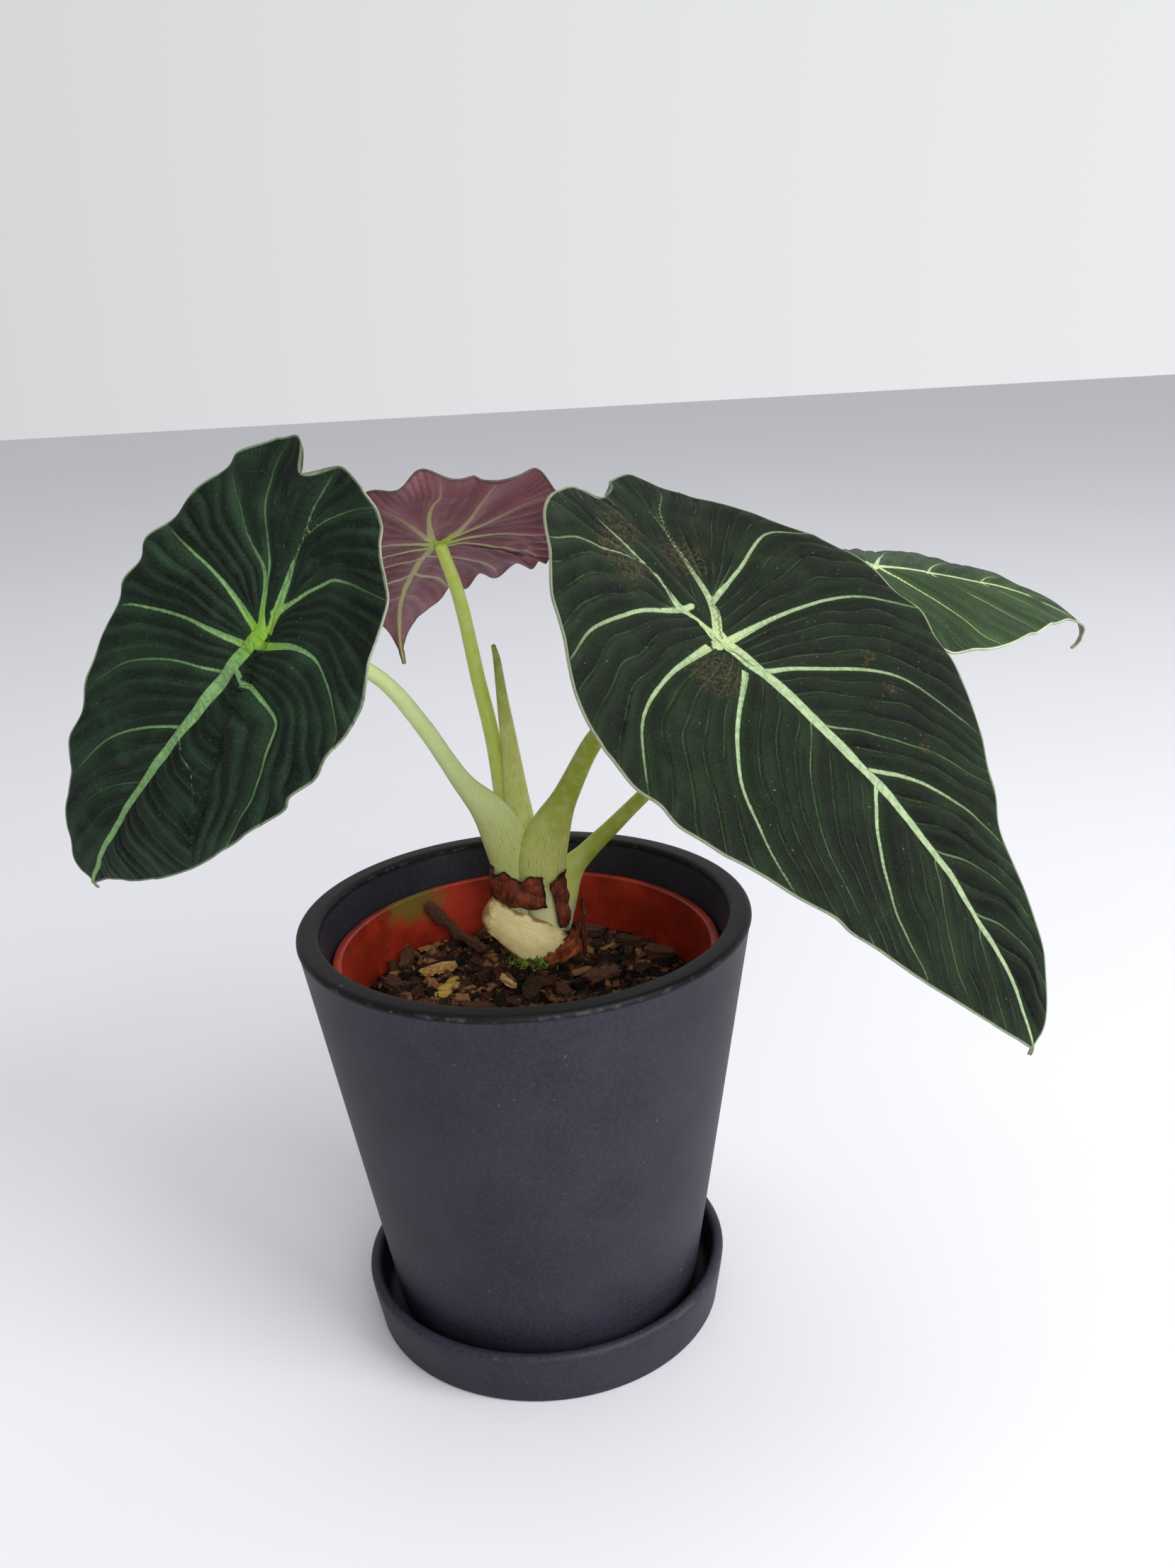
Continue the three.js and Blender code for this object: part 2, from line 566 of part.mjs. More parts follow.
// ---- Assembly ---------------------------------------------------------------------------------------
add('saucer', saucer(), charcoal);
add('planter', planter(), charcoal, plant, planterZ);
add('nursery_pot', nurseryPot(), redPlastic, plant, nurseryZ);
add('potting_mix', pottingMix(), barkMix);
add('rhizome', rhizome(), rustHusk, crown);

// Each stalk is trimmed where its neighbours' sheaths stand in front of it, and under its own blade.
const trimmedBy = {
  right: [],
  left: ['right'],
  new: ['right', 'left'],
  far: ['right', 'new'],
  back: ['right', 'left', 'new'],
};
for (const [name, neighbours] of Object.entries(trimmedBy)) {
  const cutters = neighbours.map((other) => stalk(other, gap));
  if (leaves[name]) cutters.push(blade(leaves[name], bladeThickness / 2 + gap, 6));
  const shape = cutBy(stalk(name), cutters);
  if (name === 'new') add('new_leaf', shape, spikeGreen, crown);
  else add(`petiole_${name}`, shape, stalkGreen, crown);
}
for (const [name, leaf] of Object.entries(leaves)) {
  add(`blade_${name}`, closed(blade(leaf)), name === 'far' ? farGreen : velvetGreen, crown);
}
for (const [name, [material, shape]] of Object.entries(husks)) add(name, wrap(shape), material, crown);
for (const [name, [material, piece]] of Object.entries(litter)) add(name, chip(piece, 7), material);
barkChips.forEach((piece, k) => add(`bark_chip_${k + 1}`, chip(piece, 11 + k), bark));
add('twig', closed(twig()), bark);

export default plant;
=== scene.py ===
"""A potted alocasia: velvet leaves on pale stalks, in bark mix, in a plastic pot inside a matte planter.

Lengths are millimetres until a mesh is written, then metres.  The plant stands on the crown, the middle of
the rhizome's top, which comes from the frame.
"""

import logging
import math
from abc import ABC, abstractmethod
from dataclasses import dataclass, field
from enum import Enum
from typing import Optional, Sequence, Union

import bpy
import numpy as np
from mathutils import Matrix, Vector, noise


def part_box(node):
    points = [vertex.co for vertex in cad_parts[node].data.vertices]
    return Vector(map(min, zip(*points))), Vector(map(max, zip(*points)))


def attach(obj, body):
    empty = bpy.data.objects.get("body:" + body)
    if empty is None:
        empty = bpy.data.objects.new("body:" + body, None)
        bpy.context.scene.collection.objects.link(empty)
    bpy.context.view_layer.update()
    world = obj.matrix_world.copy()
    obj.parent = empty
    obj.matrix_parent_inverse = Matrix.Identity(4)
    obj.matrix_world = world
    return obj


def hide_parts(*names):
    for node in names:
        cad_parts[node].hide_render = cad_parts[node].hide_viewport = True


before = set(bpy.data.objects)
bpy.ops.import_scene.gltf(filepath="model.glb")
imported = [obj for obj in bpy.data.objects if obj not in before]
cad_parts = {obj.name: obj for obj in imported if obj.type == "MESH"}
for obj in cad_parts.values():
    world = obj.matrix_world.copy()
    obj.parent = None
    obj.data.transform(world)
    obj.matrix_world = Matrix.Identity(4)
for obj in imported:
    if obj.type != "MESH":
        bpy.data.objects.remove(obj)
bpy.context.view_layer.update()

LOG = logging.getLogger("alocasia")
MM = 0.001
Array = np.ndarray
Colour = tuple[float, float, float]
Points = Sequence[tuple[float, float]]


def rgb(code: str) -> Colour:
    """The linear colour of a six-digit display colour."""
    parts = [int(code[i : i + 2], 16) / 255 for i in (0, 2, 4)]
    return tuple(c / 12.92 if c <= 0.04045 else ((c + 0.055) / 1.055) ** 2.4 for c in parts)


# ---- Shader maths ----------------------------------------------------------------------------------------


class Wire:
    """A shader value whose maths is written as Python expressions."""

    def __init__(self, nodes: "Nodes", socket: bpy.types.NodeSocket) -> None:
        """Keeps the socket and the tree that it belongs to."""
        self.nodes = nodes
        self.socket = socket

    def op(self, operation: str, *others: "Number") -> "Wire":
        """Adds one Math node with this value in its first socket.

        Args:
            operation: The Math node's operation.
            others: What goes into its other sockets.

        Returns:
            The node's result.
        """
        sockets = dict(enumerate((self, *others)))
        return self.nodes.node("ShaderNodeMath", {"operation": operation}, sockets)

    def __add__(self, other: "Number") -> "Wire":
        """self + other."""
        return self.op("ADD", other)

    __radd__ = __add__

    def __sub__(self, other: "Number") -> "Wire":
        """self - other."""
        return self.op("SUBTRACT", other)

    def __rsub__(self, other: "Number") -> "Wire":
        """other - self."""
        return (self * -1.0) + other

    def __mul__(self, other: "Number") -> "Wire":
        """self * other."""
        return self.op("MULTIPLY", other)

    __rmul__ = __mul__

    def __truediv__(self, other: "Number") -> "Wire":
        """self / other."""
        return self.op("DIVIDE", other)

    def __pow__(self, other: "Number") -> "Wire":
        """self to the power of other."""
        return self.op("POWER", other)

    def __abs__(self) -> "Wire":
        """The size of the value."""
        return self.op("ABSOLUTE")

    def frac(self) -> "Wire":
        """The part after the point."""
        return self.op("FRACT")

    def sin(self) -> "Wire":
        """The sine of the value."""
        return self.op("SINE")

    def least(self, other: "Number") -> "Wire":
        """The smaller of two values."""
        return self.op("MINIMUM", other)

    def most(self, other: "Number") -> "Wire":
        """The larger of two values."""
        return self.op("MAXIMUM", other)

    def rise(self, low: "Number", high: "Number") -> "Wire":
        """A smooth step from 0 at low to 1 at high."""
        settings = {"interpolation_type": "SMOOTHSTEP"}
        return self.nodes.node("ShaderNodeMapRange", settings, {0: self, 1: low, 2: high, 3: 0.0, 4: 1.0})

    def fall(self, low: "Number", high: "Number") -> "Wire":
        """A smooth step from 1 at low to 0 at high."""
        settings = {"interpolation_type": "SMOOTHSTEP"}
        return self.nodes.node("ShaderNodeMapRange", settings, {0: self, 1: low, 2: high, 3: 1.0, 4: 0.0})


Number = Union[float, Wire]
MIX_FACTOR, MIX_A, MIX_B, MIX_RESULT = 0, 6, 7, 2


class Nodes:
    """Adds nodes to one node tree."""

    def __init__(self, tree: bpy.types.NodeTree) -> None:
        """Keeps the tree."""
        self.tree = tree

    def node(self, kind: str, settings: dict, sockets: dict, output: Union[int, str] = 0) -> Wire:
        """Adds any node.

        Args:
            kind: The node's type.
            settings: The node's own settings, made first.
            sockets: Values or links of its sockets, by name or place.
            output: The socket that the result is read from.

        Returns:
            The chosen output.
        """
        made = self.tree.nodes.new(kind)
        for name, value in settings.items():
            setattr(made, name, value)
        for name, value in sockets.items():
            if isinstance(value, Wire):
                self.tree.links.new(value.socket, made.inputs[name])
            elif isinstance(value, tuple) and len(value) == 3 and made.inputs[name].type == "RGBA":
                made.inputs[name].default_value = (*value, 1.0)
            else:
                made.inputs[name].default_value = value
        return Wire(self, made.outputs[output])


class Shader(Nodes):
    """Builds one material round a Principled BSDF."""

    def __init__(self, name: str, **constants: object) -> None:
        """Starts a material.

        Args:
            name: The material's name.
            constants: Values of Principled sockets, _ standing for a space.
        """
        self.material = bpy.data.materials.new(name)
        self.material.use_nodes = True
        super().__init__(self.material.node_tree)
        self.surface = self.tree.nodes["Principled BSDF"]
        for socket, value in constants.items():
            self.surface.inputs[socket.replace("_", " ")].default_value = value

    def place(self) -> Wire:
        """The place on the object, in metres."""
        return self.node("ShaderNodeTexCoord", {}, {}, "Object")

    def parts(self, vector: Wire) -> tuple[Wire, Wire, Wire]:
        """A vector's three parts.

        Args:
            vector: The vector.

        Returns:
            Its X, Y and Z.
        """
        first = self.node("ShaderNodeSeparateXYZ", {}, {0: vector})
        outputs = first.socket.node.outputs
        return tuple(Wire(self, outputs[k]) for k in range(3))

    def stored(self, name: str) -> tuple[Wire, Wire, Wire]:
        """The three parts of a mesh attribute."""
        return self.parts(self.node("ShaderNodeAttribute", {"attribute_name": name}, {}, "Vector"))

    def noise(
        self, size: float, detail: float = 3.0, vector: Optional[Wire] = None, rough: float = 0.55
    ) -> Wire:
        """Noise that is about 0.5 on average.

        Args:
            size: The size of its features in millimetres.
            detail: How many finer layers it has.
            vector: Its coordinates, or the place on the object.
            rough: How strong the finer layers are.

        Returns:
            The noise.
        """
        vector = vector or self.place()
        sockets = {"Vector": vector, "Scale": 1 / (size * MM), "Detail": detail, "Roughness": rough}
        return self.node("ShaderNodeTexNoise", {}, sockets)

    def stretched(self, x: float, y: float, z: float) -> Wire:
        """The place on the object multiplied along each axis."""
        return self.node("ShaderNodeMapping", {}, {"Vector": self.place(), "Scale": (x, y, z)})

    def joined(self, x: Number, y: Number, z: Number) -> Wire:
        """A vector of three values."""
        return self.node("ShaderNodeCombineXYZ", {}, {0: x, 1: y, 2: z})

    def mix(self, factor: Number, a: Union[Wire, Colour], b: Union[Wire, Colour]) -> Wire:
        """Mixes two colours."""
        sockets = {MIX_FACTOR: factor, MIX_A: a, MIX_B: b}
        return self.node("ShaderNodeMix", {"data_type": "RGBA"}, sockets, MIX_RESULT)

    def bump(self, height: Wire, depth: float, strength: float = 1.0) -> None:
        """Feeds a Bump node of a depth in millimetres to the normal."""
        sockets = {"Height": height, "Distance": depth * MM, "Strength": strength}
        self.feed(Normal=self.node("ShaderNodeBump", {}, sockets))

    def feed(self, **links: Wire) -> None:
        """Links values to Principled sockets, _ standing for a space."""
        for socket, wire in links.items():
            self.tree.links.new(wire.socket, self.surface.inputs[socket.replace("_", " ")])


class Finish(ABC):
    """A finish that can be painted on a piece."""

    @abstractmethod
    def material(self) -> bpy.types.Material:
        """Makes the material.

        Returns:
            The material.
        """


@dataclass(frozen=True)
class MatteCeramic(Finish):
    """Dark unglazed stoneware with a soft sheen; its rims rubbed paler with a painted highlight, the rim top
    may get painted shade.
    """

    rim_height: float  # mm, where the rubbed edge and its painted highlight are
    rim_shade_depth: float = 0.0  # mm of painted shade: a near-black band along the rim top
    # colour of the painted shade on the rim top
    rim: Colour = rgb("09090c")
    body: Colour = rgb("262732")
    deep: Colour = rgb("1e1f29")
    # paler colour for grain and rubbed wear, also the painted highlight on the rim edge
    rubbed_pale_and_highlight: Colour = rgb("4c4c52")
    speck: Colour = rgb("62636a")

    def material(self) -> bpy.types.Material:
        """Makes the material.

        Returns:
            The material.
        """
        s = Shader("matte_ceramic", Specular_IOR_Level=0.22)
        cloudy = s.noise(22, 4).rise(0.3, 0.7)
        grain = s.noise(0.9, 4)
        colour = s.mix(cloudy, self.deep, self.body)
        colour = s.mix(grain.rise(0.35, 0.8) * 0.25, colour, self.rubbed_pale_and_highlight)
        height = s.parts(s.place())[2] / MM
        # painted shade: a near-black band darkens the top few millimetres of the rim
        if self.rim_shade_depth:
            below = height * -1.0 + self.rim_height + (s.noise(6, 3) - 0.5) * 0.8
            colour = s.mix(below.fall(self.rim_shade_depth * 0.7, self.rim_shade_depth), colour, self.rim)
        # paler band round the rim's rounded edge: partly real rubbed wear, partly a painted highlight
        rim_wear_and_highlight = abs(height - self.rim_height + 1.1).fall(0.0, 0.8) * s.noise(3.2, 5).rise(0.5, 0.66)
        colour = s.mix(rim_wear_and_highlight * 0.55, colour, self.rubbed_pale_and_highlight)
        dust = s.noise(1.9, 1.5).rise(0.72, 0.76) * s.noise(13, 1).rise(0.5, 0.6)
        colour = s.mix(dust * 0.5, colour, self.speck)
        s.feed(Base_Color=colour, Roughness=grain * 0.14 + 0.46 + rim_wear_and_highlight * 0.15)
        s.bump(grain * 0.6 + s.noise(5, 2) * 0.7, 0.16, 0.55)
        return s.material


@dataclass(frozen=True)
class NurseryPlastic(Finish):
    """Thin brick-red plastic with a faint ribbing, dust and an algae stain on its rim."""

    stain: tuple[float, float, float]  # mm, middle of the stain
    body: Colour = rgb("b8341e")
    deep: Colour = rgb("8c2614")
    dust: Colour = rgb("a8695a")
    algae: Colour = rgb("6b6a20")

    def material(self) -> bpy.types.Material:
        """Makes the material.

        Returns:
            The material.
        """
        s = Shader("nursery_plastic", Specular_IOR_Level=0.5)
        cloudy = s.noise(14, 4)
        colour = s.mix(cloudy.rise(0.35, 0.7), self.deep, self.body)
        colour = s.mix(s.noise(1.6, 3).rise(0.58, 0.75) * 0.3, colour, self.dust)
        x, y, z = s.parts(s.place())
        across = ((x / MM - self.stain[0]) / 16) ** 2.0 + ((y / MM - self.stain[1]) / 16) ** 2.0
        away = (across + ((z / MM - self.stain[2]) / 9) ** 2.0) ** 0.5
        patch = (away + s.noise(4, 4) * 0.9).fall(0.75, 1.5)
        colour = s.mix(patch * 0.8, colour, self.algae)
        s.feed(Base_Color=colour, Roughness=cloudy * 0.2 + 0.3 + patch * 0.3)
        s.bump(s.noise(1.1, 3) + s.noise(7, 2), 0.12, 0.5)
        return s.material


@dataclass(frozen=True)
class WoodyBits(Finish):
    """Bark, mix and twigs: each bit has its own tone between a dark and a light brown."""

    name: str
    dark: Colour
    middle: Colour
    light: Colour
    grain: float = 1.2  # mm

    def material(self) -> bpy.types.Material:
        """Makes the material.

        Returns:
            The material.
        """
        s = Shader(self.name, Roughness=0.88, Specular_IOR_Level=0.25)
        tone = s.stored("tone")[0]
        streaks = s.noise(self.grain, 5, rough=0.65)
        shade = tone + (streaks - 0.5) * 0.8
        colour = s.mix(shade.rise(0.1, 0.62), self.dark, self.middle)
        colour = s.mix(shade.rise(0.66, 1.02), colour, self.light)
        s.feed(Base_Color=colour)
        s.bump(streaks + s.noise(self.grain * 0.3, 3) * 0.5, 0.5, 0.9)
        return s.material


@dataclass(frozen=True)
class StalkSkin(Finish):
    """Smooth pale stalk: creamy at the sheath and greener above, with fine lines and dashes lengthwise."""

    name: str
    foot: Colour
    middle: Colour
    top: Colour
    turn: tuple[float, float]  # share of the length where the foot colour ends, and the top colour is reached
    lines: int = 34

    def material(self) -> bpy.types.Material:
        """Makes the material.

        Returns:
            The material.
        """
        s = Shader(self.name, Roughness=0.42, Specular_IOR_Level=0.4, Subsurface_Weight=0.12)
        s.surface.inputs["Subsurface Radius"].default_value = (0.004, 0.005, 0.0015)
        s.surface.inputs["Subsurface Scale"].default_value = 0.4
        around, along, _ = s.parts(s.node("ShaderNodeUVMap", {"uv_map": "UVMap"}, {}))
        wobble = (s.noise(9, 3) - 0.5) * 0.25
        colour = s.mix((along + wobble).rise(self.turn[0] * 0.35, self.turn[0]), self.foot, self.middle)
        colour = s.mix((along + wobble).rise(self.turn[0], self.turn[1]), colour, self.top)
        colour = s.mix(s.noise(3.5, 3).rise(0.4, 0.75) * 0.3, colour, self.foot)
        line = abs((around * self.lines + s.noise(30, 1)).frac() - 0.5).fall(0.03, 0.16)
        dashes = s.noise(1.0, 2, s.stretched(1, 1, 0.35)).rise(0.5, 0.62)
        sheath = (along + wobble).fall(self.turn[0], self.turn[1])
        colour = s.mix(line * dashes * (sheath * 0.35 + 0.12), colour, rgb("5f6a26"))
        dots = s.noise(1.3, 1.2).rise(0.74, 0.79)
        colour = s.mix(dots * 0.5, colour, rgb("4d4a1c"))
        s.feed(Base_Color=colour)
        s.bump(line * -0.5 + s.noise(2.2, 3), 0.14, 0.6)
        return s.material


@dataclass(frozen=True)
class Papery(Finish):
    """A dry or peeling sheath with lengthwise fibres and browned edges."""

    name: str
    pale: Colour
    deep: Colour
    edge: Colour
    fibres: float = 26.0
    rough: float = 0.7
    fibres_round: bool = False  # fibres run round the crown, not up
    depth: float = 0.35  # mm of fibre relief
    edge_reach: float = 9.0  # how narrow the browned edge is

    def material(self) -> bpy.types.Material:
        """Makes the material.

        Returns:
            The material.
        """
        s = Shader(self.name, Roughness=self.rough, Specular_IOR_Level=0.35)
        around, up, _ = s.parts(s.node("ShaderNodeUVMap", {"uv_map": "UVMap"}, {}))
        fold = s.noise(3.0, 5, rough=0.65)
        first, second = (up, around) if self.fibres_round else (around, up)
        fibre = s.noise(90, 4, s.joined(first * self.fibres * 0.09, second * 0.12, 0.0))
        colour = s.mix((fold * 0.6 + fibre * 0.4).rise(0.36, 0.62), self.deep, self.pale)
        rim = (around.least(1 - around) * self.edge_reach).least(up.least(1 - up) * 7)
        burnt = (rim + (fold - 0.5) * 1.4).fall(0.1, 0.7)
        colour = s.mix(burnt * 0.9, colour, self.edge)
        colour = s.mix(s.noise(1.1, 2).rise(0.66, 0.76) * 0.5, colour, self.edge)
        s.feed(Base_Color=colour)
        s.bump(fibre * 0.8 + s.noise(1.2, 4), self.depth, 0.8)
        return s.material


@dataclass(frozen=True)
class LeafColours:
    """The colours of one side of a leaf."""

    tissue: Colour
    shadow: Colour
    # pale bloom of the tissue, also used for painted highlights and painted sheen
    bloom_and_highlight: Colour
    vein: Colour
    fine_vein: Colour
    margin: Colour
    hub: Colour


@dataclass(frozen=True)
class LeafSkin(Finish):
    """One side of a leaf: tissue between pale veins, read from the leaf's own vein fields, with painted
    light, shade and sheen.
    """

    name: str
    colours: LeafColours
    vein_spread: float = 1.0  # widens the veins
    fine_strength: float = 0.5
    velvet: float = 0.05
    gloss: float = 0.62  # roughness
    relief: float = 0.5  # mm
    shine: float = 0.16
    damage: float = 0.0
    damage_places: tuple[tuple[float, float, float], ...] = ()  # across, along, radius in mm
    dry_tip: float = 1000.0  # mm from the stalk where the tip turns brown

    def material(self) -> bpy.types.Material:
        """Makes the material.

        Returns:
            The material.
        """
        c = self.colours
        s = Shader(self.name, Specular_IOR_Level=self.shine, Sheen_Weight=self.velvet, Sheen_Roughness=0.45)
        s.surface.inputs["Sheen Tint"].default_value = (*c.bloom_and_highlight, 1.0)
        phase, spacing, fine_phase = s.stored("veins")
        across, along, edge = s.stored("blade")
        half_width, rib, fine_spacing = s.stored("widths")
        soft = s.noise(0.8, 3)
        speckle = s.noise(0.42, 2)

        to_vein = abs((phase + 0.5).frac() - 0.5) * spacing
        from_hub = (across**2.0 + (along + 1.0) ** 2.0) ** 0.5
        flare = from_hub.fall(3.0, 26.0) * 0.75 + 1.0
        reach = to_vein + (soft - 0.5) * 0.24 - half_width * flare * self.vein_spread
        vein = reach.fall(-0.16, 0.22) * half_width.rise(0.08, 0.55)
        trunk = s.stored("trunk")[0]
        vein = (vein * trunk.fall(0.15, 0.6)).most((trunk + (soft - 0.5) * 0.2).fall(-0.5, -0.05))
        middle = (rib + (soft - 0.5) * 0.3).fall(-0.15, 0.25)
        to_fine = abs((fine_phase + 0.5).frac() - 0.5) * fine_spacing
        near_vein = to_vein.fall(0.6, 3.2)
        fine = to_fine.fall(0.04, 0.3) * (near_vein * 0.5 + 0.4) * s.noise(8, 3).rise(0.36, 0.62)
        groove_shade = to_fine.fall(0.1, 1.1) * fine_spacing.rise(0.9, 2.4)

        cloud = s.noise(26, 3)
        colour = s.mix(cloud.rise(0.35, 0.7), c.shadow, c.tissue)
        open_tissue = fine_spacing.rise(0.9, 2.4)
        # painted light and shade: between fine veins the tissue is painted lighter on one side of each ridge
        # and darker on the other
        side = (fine_phase * 6.2832 + 0.6).sin() * open_tissue
        colour = s.mix(side.rise(0.1, 1.0) * 0.3, colour, c.bloom_and_highlight)
        colour = s.mix(side.fall(-1.0, 0.1) * 0.6, colour, c.shadow)
        # painted shade in the grooves beside the fine veins
        colour = s.mix(groove_shade * 0.25, colour, c.shadow)
        # painted sheen: pale hazy patches of velvet sheen on the tissue
        colour = s.mix(s.noise(13, 4).rise(0.5, 0.75) * 0.35, colour, c.bloom_and_highlight)
        colour = s.mix(to_vein.fall(0.6, 3.4) * 0.3, colour, c.bloom_and_highlight)
        colour = s.mix(speckle.rise(0.5, 0.72) * 0.45, colour, c.bloom_and_highlight)
        colour = s.mix(speckle.fall(0.32, 0.5) * 0.5, colour, c.shadow)
        if self.damage_places:
            marks = None
            for x, y, radius in self.damage_places:
                reach = (((across - x) ** 2.0 + (along - y) ** 2.0) ** 0.5) / radius
                spot = (reach + (soft - 0.5) * 1.3).fall(0.5, 1.1)
                marks = spot if marks is None else marks.most(spot)
            bitten = marks * s.noise(1.0, 3).rise(0.44, 0.6)
            colour = s.mix(bitten * self.damage, colour, rgb("55432c"))
        colour = s.mix(fine * self.fine_strength, colour, c.fine_vein)
        streak = s.noise(1.4, 3)
        vein_colour = s.mix(streak.rise(0.35, 0.65) * 0.45, c.vein, c.fine_vein)
        colour = s.mix(vein, colour, vein_colour)
        colour = s.mix(middle, colour, vein_colour)
        colour = s.mix(edge.fall(0.25, 0.75) * 0.85, colour, c.margin)
        hub = (from_hub + (soft - 0.5) * 3.0).fall(1.0, 15.0)
        colour = s.mix(hub * vein.most(middle) * 0.9, colour, c.hub)
        colour = s.mix(s.noise(0.9, 1.0).rise(0.76, 0.8) * 0.35, colour, rgb("9aa592"))
        dry = (along + (soft - 0.5) * 3.0).rise(self.dry_tip, self.dry_tip + 3.0)
        colour = s.mix(dry, colour, rgb("6a4a2e"))
        s.feed(Base_Color=colour, Roughness=(1 - vein) * 0.12 + self.gloss - 0.1 + soft * 0.08)
        height = speckle * 0.5 + soft * 0.6 + vein * 0.5 + middle * 0.6
        height = height + to_fine.fall(0.0, 1.1) * open_tissue * -0.9
        s.bump(height, self.relief, 0.8)
        return s.material


@dataclass(frozen=True)
class Moss(Finish):
    """Bright green tufts, browner where they are thin."""

    def material(self) -> bpy.types.Material:
        """Makes the material.

        Returns:
            The material.
        """
        s = Shader("moss_tufts", Roughness=0.85)
        colour = s.mix(s.noise(1.8, 3).rise(0.35, 0.65), rgb("32400f"), rgb("7fa32c"))
        s.feed(Base_Color=s.mix(s.noise(3.5, 2).rise(0.5, 0.7) * 0.6, colour, rgb("5a4022")))
        return s.material


@dataclass(frozen=True)
class PaleTable(Finish):
    """The plain pale floor."""

    tint: Colour = rgb("e3e3e8")

    def material(self) -> bpy.types.Material:
        """Makes the material.

        Returns:
            The material.
        """
        s = Shader("pale_table", Roughness=0.7, Specular_IOR_Level=0.2)
        s.feed(Base_Color=s.mix(s.noise(260, 2), self.tint, rgb("dedee3")))
        return s.material


# ---- Meshes ----------------------------------------------------------------------------------------------


def bare() -> None:
    """Leaves object mode with nothing selected."""
    if bpy.context.object and bpy.context.object.mode != "OBJECT":
        bpy.ops.object.mode_set(mode="OBJECT")
    bpy.ops.object.select_all(action="DESELECT")


def apply_modifier(piece: bpy.types.Object, kind: str, **settings: object) -> None:
    """Adds a modifier with its settings and applies it.

    Args:
        piece: The mesh object.
        kind: The modifier's type.
        settings: The modifier's own settings.
    """
    bare()
    piece.select_set(True)
    bpy.context.view_layer.objects.active = piece
    modifier = piece.modifiers.new(kind.lower(), kind)
    for name, value in settings.items():
        setattr(modifier, name, value)
    bpy.ops.object.modifier_apply(modifier=modifier.name)


def tidy_mesh(piece: bpy.types.Object, merge: float = 0.0) -> None:
    """Merges doubled corners and turns the faces outwards.

    Args:
        piece: The mesh object.
        merge: The merge distance in millimetres, or 0 for none.
    """
    bare()
    piece.select_set(True)
    bpy.context.view_layer.objects.active = piece
    bpy.ops.object.mode_set(mode="EDIT")
    bpy.ops.mesh.select_all(action="SELECT")
    if merge:
        bpy.ops.mesh.remove_doubles(threshold=merge * MM)
    bpy.ops.mesh.normals_make_consistent(inside=False)
    bpy.ops.object.mode_set(mode="OBJECT")


def smooth(piece: bpy.types.Object, angle: float = 40.0) -> None:
    """Shades a piece smooth.

    Args:
        piece: The mesh object.
        angle: Edges sharper than this stay sharp, in degrees.
    """
    bare()
    piece.select_set(True)
    bpy.context.view_layer.objects.active = piece
    bpy.ops.object.shade_smooth_by_angle(angle=math.radians(angle))


def corners(piece: bpy.types.Object) -> Array:
    """A mesh's corner points.

    Args:
        piece: The mesh object.

    Returns:
        Rows of X, Y and Z in millimetres.
    """
    found = np.zeros(len(piece.data.vertices) * 3)
    piece.data.vertices.foreach_get("co", found)
    return found.reshape(-1, 3) / MM


def move_corners(piece: bpy.types.Object, points: Array) -> None:
    """Puts a mesh's corner points at places in millimetres."""
    piece.data.vertices.foreach_set("co", (points * MM).astype(np.float32).ravel())
    piece.data.update()


def store(piece: bpy.types.Object, name: str, values: Array, domain: str = "POINT") -> None:
    """Stores three numbers on every corner point, or on every face corner."""
    layer = piece.data.attributes.new(name, "FLOAT_VECTOR", domain)
    layer.data.foreach_set("vector", values.astype(np.float32).ravel())


def grid(name: str, across: int, along: int) -> tuple[bpy.types.Object, Array, Array]:
    """Adds a grid and gives each corner's place on it.

    Args:
        name: The piece's name.
        across: Squares in the first direction.
        along: Squares in the second direction.

    Returns:
        The object, and each corner's two shares from 0 to 1.
    """
    bare()
    bpy.ops.mesh.primitive_grid_add(x_subdivisions=across, y_subdivisions=along, size=2.0, calc_uvs=True)
    piece = bpy.context.object
    piece.name = piece.data.name = name
    place = corners(piece) * MM
    return piece, (place[:, 0] + 1) / 2, (place[:, 1] + 1) / 2


def turned(name: str, profile: Points, segments: int = 160) -> bpy.types.Object:
    """Turns a closed profile about +Z: a disc is extruded ring by ring, up the outside and down the inside.

    Args:
        name: The piece's name.
        profile: Radius and height in millimetres of each ring, from the outer bottom to the inner floor.
        segments: Sides of the rings.

    Returns:
        The object.
    """
    bare()
    radius, height = profile[0]
    bpy.ops.mesh.primitive_circle_add(
        vertices=segments, radius=radius * MM, fill_type="NGON", location=(0, 0, height * MM)
    )
    piece = bpy.context.object
    piece.name = piece.data.name = name
    bpy.ops.object.transform_apply(location=True, rotation=False, scale=False)
    bpy.ops.object.mode_set(mode="EDIT")
    bpy.ops.mesh.select_all(action="SELECT")
    for next_radius, next_height in profile[1:]:
        rise = {"value": (0, 0, (next_height - height) * MM)}
        bpy.ops.mesh.extrude_region_move(TRANSFORM_OT_translate=rise)
        share = next_radius / radius
        bpy.ops.transform.resize(value=(share, share, 1), center_override=(0, 0, next_height * MM))
        radius, height = next_radius, next_height
    bpy.ops.object.mode_set(mode="OBJECT")
    tidy_mesh(piece)
    smooth(piece, 32)
    return piece


def arc(middle: tuple[float, float], radius: float, start: float, end: float, steps: int = 6) -> list[tuple]:
    """Points on an arc of a profile, its angles in degrees from the outward direction."""
    turns = np.radians(np.linspace(start, end, steps + 1))
    return [(middle[0] + radius * math.cos(t), middle[1] + radius * math.sin(t)) for t in turns]


